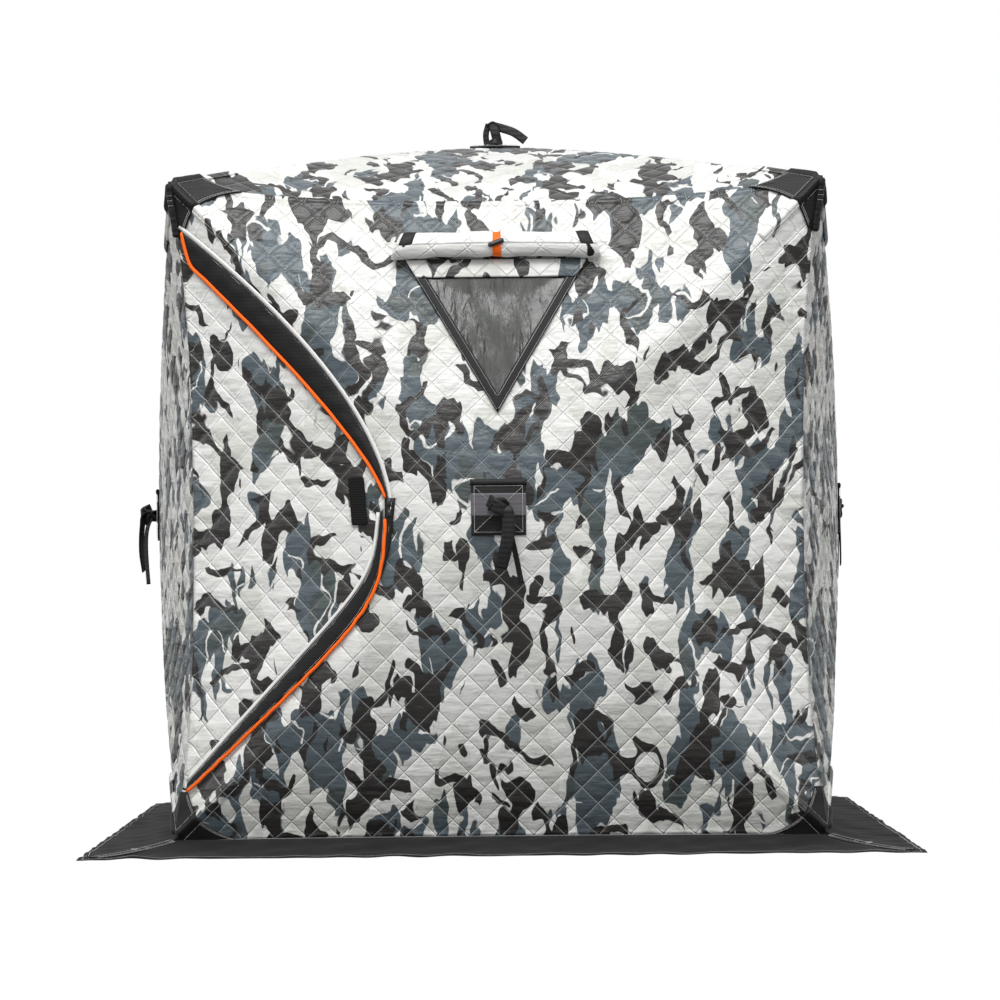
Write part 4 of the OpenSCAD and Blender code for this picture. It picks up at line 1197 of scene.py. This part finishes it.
# ---------------------------------------------------------------- hub patches and straps
class HUT_OT_hubs(bpy.types.Operator):
    """Build each hub's square patch, knot and pull strap"""
    bl_idname = "hut.hub_patches"
    bl_label = "Hub Patches and Straps"

    def execute(self, context):
        cloth, bands, seams = [], [], []
        for face in FACES:
            k = np.linspace(-0.075, 0.075, 31)
            u, v = np.meshgrid(k, k, indexing="xy")
            cloth.append(slab(on_face(face, u, v, 0.0028 + 0.0005 * ripples(u, v, 0.04, 5)),
                              on_face(face, u, v, 0.0005)))
            # The folded strip along the top edge.
            u, v = np.meshgrid(np.linspace(-0.077, 0.077, 31), np.linspace(0.062, 0.079, 7),
                               indexing="xy")
            high = 0.0004 if face == "roof" else 0.0042
            roll = 0.0030 + high * np.sqrt(np.clip(1 - ((v - 0.0705) / 0.0086) ** 2, 0, 1))
            cloth.append(slab(on_face(face, u, v, roll), on_face(face, u, v, 0.0012)))
            # The grey band across it.
            u, v = np.meshgrid(np.linspace(-0.0755, 0.0755, 31), np.linspace(-0.022, 0.040, 13),
                               indexing="xy")
            bands.append(slab(on_face(face, u, v, 0.0042 + 0.0003 * np.cos(v * 900)),
                              on_face(face, u, v, 0.0024)))
            # Stitches round the patch and across both diagonals.
            f = 0.066
            for line in (((-f, -f), (f, -f)), ((f, -f), (f, 0.060)), ((f, 0.060), (-f, 0.060)),
                         ((-f, 0.060), (-f, -f)), ((-f, -f), (f, 0.058)), ((-f, 0.058), (f, -f))):
                t = np.linspace(0, 1, 30)[:, None]
                p = np.array(line[0]) * (1 - t) + np.array(line[1]) * t
                seams.append(on_face(face, p[:, 0], p[:, 1], 0.0049))
        pts, faces, uv = joined(cloth)
        patch = piece("hub_patch_cloth", pts, faces, finish("black oxford cloth"), "black_oxford",
                      "root", uv)
        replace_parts(patch, "hub_patches")
        pts, faces, uv = joined(bands)
        piece("hub_patch_bands", pts, faces, finish("grey polyester band"), "black_oxford", "root", uv)
        stitching("hub_patch_stitching", seams)
        for face in FACES:
            self.strap(face)
        return {"FINISHED"}

    def strap(self, face):
        """Webbing knot on the hub's stem with its hanging tail. On a wall, the tail leaves the knot on
        one side and hangs; on the roof, it stands in a loop and one end lies over to the side."""
        place = FACES[face].place
        base = FACES[face].bulge
        solids = []
        if face == "roof":
            def at(path):
                """The path on the roof."""
                p = spline(path, 40)
                return place(p[:, 0], p[:, 1], base + p[:, 2])
            for path, side, width, thick in (
                    (((-0.024, 0, 0), (-0.027, 0, 0.035), (-0.019, 0, 0.067)), (1, 0, 0), 0.018, 0.006),
                    (((-0.024, 0, 0.062), (-0.006, 0, 0.071), (0.012, 0, 0.060)), (0, 1, 0), 0.030, 0.006),
                    (((0.010, -0.010, 0.002), (0.002, -0.014, 0.035), (-0.006, -0.010, 0.067)),
                     (1, 0, 0.1), 0.028, 0.004),
                    (((-0.004, 0.010, 0.062), (0.030, 0.008, 0.052), (0.060, 0.006, 0.040),
                      (0.092, 0.004, 0.016)), (0.3, 0.1, 1), 0.026, 0.004)):
                solids.append(ribbon(at(path), side, width, thick))
            solids.append(ribbon(at([(-0.020, -0.012, 0.004), (0, -0.020, 0.012), (0.020, -0.012, 0.004)]),
                                 (0, 0.3, 1), 0.020, 0.006))
        else:
            side_wall = face in ("left", "right")

            def at(path):
                """The path on the face. On the right wall the strap is pushed round behind the hub and
                lies flat, and on the left it stands off by half as much again."""
                p = spline(path, 48)
                shift, stand = {"right": (0.042, 0.30), "left": (0.0, 1.45)}.get(face, (0.0, 1.0))
                return place(p[:, 0] + shift, p[:, 1], base + p[:, 2] * stand)
            loop = [(0.013 * math.cos(s), 0.014 * math.sin(s), 0.016 + 0.008 * math.sin(2 * s + 0.6))
                    for s in np.linspace(0, 2 * np.pi, 9)]
            start, out, over = place(*np.array([[0.0, 0, 1], [0, 0, 0], [0, 1, 0]]))
            normal, across = out - start, over - start
            if face == "right":
                normal = across + 0.15 * normal
            solids.append(ribbon(at(loop), normal, 0.026, 0.006))
            solids.append(ribbon(at([(-0.026, 0.020, 0.016), (-0.012, 0.008, 0.031), (0.008, -0.004, 0.033),
                                     (0.024, -0.012, 0.018)]), (0, 0, 1), 0.036, 0.008))
            solids.append(ribbon(at([(-0.020, -0.006, 0.014), (-0.010, 0.012, 0.026), (0.010, 0.016, 0.028),
                                     (0.022, 0.004, 0.018)]), across + (0, 0, 0.8), 0.024, 0.006))
            solids.append(ribbon(at([(0.004, 0.004, 0.020), (0.020, -0.006, 0.030), (0.027, -0.030, 0.032),
                                     (0.026, -0.070, 0.034), (0.018, -0.115, 0.034), (0.004, -0.165, 0.030)]),
                                 across + 0.3 * side_wall * normal, 0.036, 0.004))
            solids.append(ribbon(at([(0.012, -0.004, 0.014), (0.026, -0.040, 0.022), (0.036, -0.085, 0.024),
                                     (0.048, -0.140, 0.022), (0.060, -0.205, 0.018)]),
                                 normal + (0 if side_wall else 0.8) * across,
                                 0.012 if side_wall else 0.022, 0.003))
        pts, faces, uv = joined(solids)
        strap = piece("pull_strap_webbing_" + face, pts, faces, finish("polypropylene webbing"),
                      "black_webbing", "root", uv)
        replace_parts(strap, "pull_strap_" + face)


# ---------------------------------------------------------------- window
class HUT_OT_window(bpy.types.Operator):
    """Build the window: clear pane, stitched binding, header, rolled cover, strap and toggle"""
    bl_idname = "hut.window"
    bl_label = "Window"

    def execute(self, context):
        self.pane()
        self.binding()
        self.header()
        self.roll()
        return {"FINISHED"}

    def pane(self):
        """Film over the hole: rows from the top edge to the apex, sagging by 6 mm between its edges and
        rippled by a millimetre or two."""
        c = triangle(0.007)
        s, t = np.meshgrid(np.linspace(0, 0.985, 60), np.linspace(0, 1, 50), indexing="ij")
        u, v = across_window(c, s, t)
        edge = smooth(np.minimum(np.minimum(t, 1 - t) * 4, np.minimum(s, 1 - s) * 4))
        sag = -0.0060 * edge + 0.0016 * edge * ripples(u * 2.2, v * 0.6, 0.10, 31)
        top = on_face("front", u, v, 0.0009 + sag)[::-1]
        under = on_face("front", u, v, 0.0004 + sag)[::-1]
        pts, faces, uv = slab(top, under)
        pane = piece("window_film", pts, faces, finish("clear flexible vinyl"), "clear_vinyl", "root", uv)
        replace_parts(pane, "window_pane")

    def binding(self):
        """Cloth tape on the three sides: rows from its outer edge in, columns round the triangle."""
        inset = np.array([0.0, 0.0015, 0.006, 0.013, 0.020, 0.0245, BINDING_W]) * 1.05
        crown = np.array([0.0, 0.0018, 0.0024, 0.0026, 0.0024, 0.0018, 0.0])
        share = np.linspace(0, 3, 91)
        rows = []
        for d in inset:
            c = triangle(d)
            k = np.minimum(share.astype(int), 2)
            p, q = c[k], c[(k + 1) % 3]
            rows.append(p + (q - p) * (share - k)[:, None])
        flat = np.array(rows)
        u, v = flat[..., 0], flat[..., 1]
        g = 0.0020 + crown[:, None] + 0 * u
        pts, faces, uv = slab(on_face("front", u, v, g), on_face("front", u, v, 0.0012 + 0 * u))
        tape = piece("window_binding_tape", pts, faces, finish("black oxford cloth"), "black_oxford",
                     "root", uv)
        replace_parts(tape, "window_binding")
        lines = []
        for d in (0.0035, 0.0225):
            c = triangle(d)
            for k in range(3):
                t = np.linspace(0.01, 0.99, 40)[:, None]
                p = c[k] * (1 - t) + c[(k + 1) % 3] * t
                lines.append(on_face("front", p[:, 0], p[:, 1], 0.0046))
        stitching("window_stitching", lines)

    def header(self):
        """Camouflage strip over the top of the window, between the slanted sides, with a soft lower hem."""
        c = triangle(0.002)
        deep = 0.118
        s, t = np.meshgrid(np.linspace(0.0, deep, 11), np.linspace(0, 1, 61), indexing="ij")
        u, v = across_window(c, s, t)
        fall = 0.0052 + 0.0022 * np.sin(np.pi * s / deep) + 0.0010 * ripples(u, v, 0.07, 33)
        top, under = on_face("front", u, v, fall + 0.002)[::-1], on_face("front", u, v, fall)[::-1]
        pts, faces, _uv = slab(top, under)
        uv = np.tile(np.stack([u + 3.3, v + 1.7], -1)[::-1].reshape(-1, 2), (2, 1))
        strip = piece("window_header_strip", pts, faces,
                      finish("quilted polyester, snow camouflage print"), "quilted_snow_camo", "root", uv)
        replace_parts(strip, "window_header")

    def roll(self):
        """Rolled cover: an oval cylinder 544 mm long with slanted ends, which bellies between its strap
        and its ends, black tapes slanting round it near the ends, and a folded corner that points out
        of each end."""
        centre = on_face("front", np.array([0.0]), np.array([ROLL_V]), ROLL_OUT)[0]
        wide, up = np.array([1.0, 0, 0]), np.array([0, math.sin(ROLL_LEAN), math.cos(ROLL_LEAN)])
        out = np.cross(wide, up)

        def surface(x, turn, more=0.0):
            """Point of the roll's surface at x along it and turn round it, more metres outside. Its
            half thickness and half height swell by cosine waves and ripples and dip at the strap."""
            belly = 1 + 0.05 * np.cos(2 * np.pi * x / 0.26) - 0.16 * np.exp(-(x / 0.018) ** 2)
            soft = 1 + 0.035 * ripples(x, turn * 0.04, 0.09, 35)
            spiral = 0.0022 * (turn / (2 * np.pi))
            ry, rz = 0.0270 * belly * soft + more + spiral, 0.0345 * belly * soft + more + spiral
            slump = -0.004 * (x / 0.25) ** 2
            x = x * (1 - 0.055 * np.sin(turn))
            return (centre + x[..., None] * wide + (rz * np.sin(turn) + slump)[..., None] * up
                    + (ry * np.cos(turn))[..., None] * out)

        x, turn = np.meshgrid(np.linspace(-ROLL_HALF, ROLL_HALF, 121), np.linspace(0, 2 * np.pi, 41),
                              indexing="ij")
        skin = surface(x, turn)
        # The ends close in rings, each turned in like the layers of the roll.
        ends = []
        for side in (0, -1):
            middle = skin[side].mean(0)
            ends.append([middle + (skin[side] - middle) * k + wide * (dx if side else -dx) for k, dx in (
                (0.93, 0.004), (0.60, 0.001), (0.55, 0.004), (0.25, 0.001), (0.02, 0.002))])
        grid = np.concatenate([np.array(ends[0])[::-1], skin, np.array(ends[1])])[:, :-1]
        rows, cols = grid.shape[:2]
        ids = np.arange(rows * cols).reshape(rows, cols)
        nxt = np.roll(ids, -1, axis=1)
        wall = np.stack([ids[:-1], ids[1:], nxt[1:], nxt[:-1]], -1).reshape(-1, 4)
        pts = grid.reshape(-1, 3)
        length = np.linspace(-0.27, 0.27, rows)[:, None] + 0 * np.arange(cols)[None]
        girth = length * 0 + np.linspace(0, 0.2, cols)[None]
        uv = np.stack([length + 5.2, girth + 2.6], -1).reshape(-1, 2)
        cover = piece("rolled_window_cover", pts, [wall, ids[:1], ids[-1:, ::-1]],
                      finish("plain white quilted polyester"), "quilted_snow_camo", "root", uv)
        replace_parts(cover, "window_cover_roll")
        tapes = []
        for side in (-1, 1):
            s, t = np.meshgrid(np.linspace(0, 1, 7), np.linspace(-0.62 * np.pi, 0.62 * np.pi, 31),
                               indexing="ij")
            x = side * (0.231 + 0.036 * s)
            g = 0.0012 + 0.0010 * np.sin(np.pi * s)
            tapes.append(slab(surface(x, t, g), surface(x, t, -0.0005 + 0 * g)))
            # Folded corner: a flat leaf from the roll's end to a point 34 mm out.
            s, t = np.meshgrid(np.linspace(0, 1, 13), np.linspace(-1, 1, 9), indexing="ij")
            tip = centre + wide * side * (ROLL_HALF + 0.036) + up * 0.002 + out * 0.004
            root = centre + wide * side * (ROLL_HALF + 0.002) - up * 0.008
            leaf = (root + (tip - root) * s[..., None] + up * (0.013 * t * (1 - s) ** 0.8)[..., None]
                    + out * (0.006 * np.sin(np.pi * s) + 0.004 * (1 - s))[..., None])
            points, faces, _uv = slab(leaf + out * 0.0012, leaf - out * 0.0012)
            uv = np.tile(np.stack([s * 0.06 + 7.1, t * 0.02 + 3.3], -1).reshape(-1, 2), (2, 1))
            piece("roll_corner_fold_" + ("left" if side < 0 else "right"), points, faces,
                  finish("plain white quilted polyester"), "quilted_snow_camo", "root", uv)
        pts, faces, uv = joined(tapes)
        piece("roll_end_tapes", pts, faces, finish("black oxford cloth"), "black_oxford", "root", uv)
        s, t = np.meshgrid(np.linspace(-1, 1, 7), np.linspace(0, 2 * np.pi, 41), indexing="ij")
        x = 0.011 * s + 0.002
        top, under = surface(x, t, 0.0026 - 0.0008 * s ** 2), surface(x, t, 0.0002 + 0 * s)
        pts, faces, uv = slab(top, under)
        strap = piece("orange_roll_strap", pts, faces, finish("orange polyester tape"), "orange_binding",
                      "root", uv)
        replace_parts(strap, "roll_strap")
        face_out = centre + out * 0.0325 - up * 0.004
        path = np.array([face_out + wide * (0.021 * k) + up * (0.008 * k) for k in np.linspace(-1, 1, 9)])
        pts, faces, uv = tube(path, 0.0074, 14, 1.0, (0, -1, 0.2))
        toggle = piece("roll_toggle_barrel", pts, faces, finish("moulded black nylon"), "black_nylon",
                       "root", uv)
        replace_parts(toggle, "roll_toggle")


# ---------------------------------------------------------------- fittings
def finish_node(name, material):
    """Gives a node of the frame its finish."""
    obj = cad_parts[name]
    obj.data.materials.clear()
    obj.data.materials.append(finish(material))


class HUT_OT_fittings(bpy.types.Operator):
    """Give the poles, hubs, feet and eyelets their finishes"""
    bl_idname = "hut.fittings"
    bl_label = "Poles, Hubs and Feet"

    def execute(self, context):
        for face in FACES:
            finish_node("poles_" + face, "pultruded fibreglass")
            finish_node("hub_" + face, "moulded black nylon")
        finish_node("corner_feet", "moulded black nylon")
        finish_node("skirt_eyelets", "nickel-plated steel")
        return {"FINISHED"}


class HUT_OT_stage(bpy.types.Operator):
    """Set up the pale floor, the even studio light and the camera"""
    bl_idname = "hut.stage"
    bl_label = "Stage"

    def execute(self, context):
        scene, s = context.scene, context.scene.hut_stage
        scene.view_settings.view_transform = "Standard"
        lens = bpy.data.cameras.new("camera")
        lens.lens, lens.sensor_width = s.lens, 36
        lens.shift_x, lens.shift_y = 0.001, 0.06
        lens.clip_end = 100
        camera = bpy.data.objects.new("camera", lens)
        camera.location = (0, -s.distance, s.height)
        camera.rotation_euler = (math.pi / 2, s.roll, 0)
        scene.collection.objects.link(camera)
        scene.camera = camera
        # Each softbox: its name, place, tilt up from facing down and turn in degrees, size and power.
        for name, at, tilt, turn, size, power in (
                ("key_softbox", (-0.4, -4.8, 6.4), 36, -5, 4.2, s.key_light),
                ("top_softbox", (0, -2.0, 6.4), 16, 0, 4.5, s.top_light),
                ("front_softbox", (0, -8.2, 4.0), 68, 0, 4.0, s.front_light),
                ("left_softbox", (-7.0, -4.0, 3.0), 70, -60, 4.0, s.side_light),
                ("right_softbox", (7.0, -4.0, 3.0), 70, 60, 4.0, 0.75 * s.side_light)):
            lamp = bpy.data.lights.new(name, "AREA")
            lamp.size, lamp.energy = size, power
            light = bpy.data.objects.new(name, lamp)
            light.location = at
            light.rotation_euler = (math.radians(tilt), 0, math.radians(turn))
            scene.collection.objects.link(light)
        self.world(scene, s)
        self.floor()
        return {"FINISHED"}

    def world(self, scene, s):
        """Weak even light, and a plain white backdrop for the camera and for gloss."""
        world = bpy.data.worlds.new("studio")
        scene.world = world
        world.use_nodes = True
        tree = world.node_tree
        tree.nodes.clear()
        path = node(tree, "ShaderNodeLightPath")
        fill = node(tree, "ShaderNodeBackground", {"Color": (1, 1, 1, 1), "Strength": s.sky})
        white = node(tree, "ShaderNodeBackground", {"Color": (1, 1, 1, 1), "Strength": 1.0})
        seen = maths(tree, "MAXIMUM", path.outputs["Is Camera Ray"], path.outputs["Is Glossy Ray"])
        mix = node(tree, "ShaderNodeMixShader", {0: seen, 1: fill.outputs[0], 2: white.outputs[0]})
        node(tree, "ShaderNodeOutputWorld", {"Surface": mix.outputs[0]})

    def floor(self):
        """Pale matt floor. It shows white to the camera, and keeps a faint shadow."""
        mesh = bpy.data.meshes.new("floor")
        far, low = 40.0, -0.002
        mesh.from_pydata([(-far, -far, low), (far, -far, low), (far, far, low), (-far, far, low)], [],
                         [(0, 1, 2, 3)])
        made = bpy.data.materials.new("matt white studio paper")
        made.use_nodes = True
        tree = made.node_tree
        tree.nodes.clear()
        path = node(tree, "ShaderNodeLightPath")
        most = maths(tree, "MULTIPLY", path.outputs["Is Camera Ray"], 0.95)
        paper = node(tree, "ShaderNodeBsdfDiffuse", {"Color": linear("#8E8E8E")})
        glow = node(tree, "ShaderNodeEmission", {"Color": (1, 1, 1, 1), "Strength": 1.06})
        mix = node(tree, "ShaderNodeMixShader", {0: most, 1: paper.outputs[0], 2: glow.outputs[0]})
        node(tree, "ShaderNodeOutputMaterial", {"Surface": mix.outputs[0]})
        mesh.materials.append(made)
        floor = bpy.data.objects.new("floor", mesh)
        bpy.context.scene.collection.objects.link(floor)


class HUT_PT_panel(bpy.types.Panel):
    """Hut builder"""
    bl_idname = "HUT_PT_panel"
    bl_label = "Ice Fishing Hut"
    bl_space_type = "VIEW_3D"
    bl_region_type = "UI"
    bl_category = "Ice Hut"

    def draw(self, context):
        for group in (context.scene.hut_fabric, context.scene.hut_colours, context.scene.hut_stage):
            box = self.layout.box()
            for key in group.__annotations__:
                box.prop(group, key)
        for operator in OPERATORS:
            self.layout.operator(operator.bl_idname)


GROUPS = (("hut_fabric", FabricSizes), ("hut_colours", HutColours), ("hut_stage", StageSettings))
OPERATORS = (HUT_OT_stage, HUT_OT_walls, HUT_OT_front, HUT_OT_door, HUT_OT_upper_flap, HUT_OT_corners,
             HUT_OT_skirt, HUT_OT_hubs, HUT_OT_window, HUT_OT_fittings)


def register():
    """Registers the groups, operators and panel, and puts the groups on the scene."""
    for name, group in GROUPS:
        bpy.utils.register_class(group)
        setattr(bpy.types.Scene, name, bpy.props.PointerProperty(type=group))
    for made in OPERATORS + (HUT_PT_panel,):
        bpy.utils.register_class(made)


def unregister():
    """Takes them away again."""
    for made in (HUT_PT_panel,) + OPERATORS[::-1]:
        bpy.utils.unregister_class(made)
    for name, group in GROUPS[::-1]:
        delattr(bpy.types.Scene, name)
        bpy.utils.unregister_class(group)


def main():
    """Builds the whole hut."""
    register()
    for operator in OPERATORS:
        group, name = operator.bl_idname.split(".")
        getattr(getattr(bpy.ops, group), name)()
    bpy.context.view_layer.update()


if __name__ == "__main__":
    main()
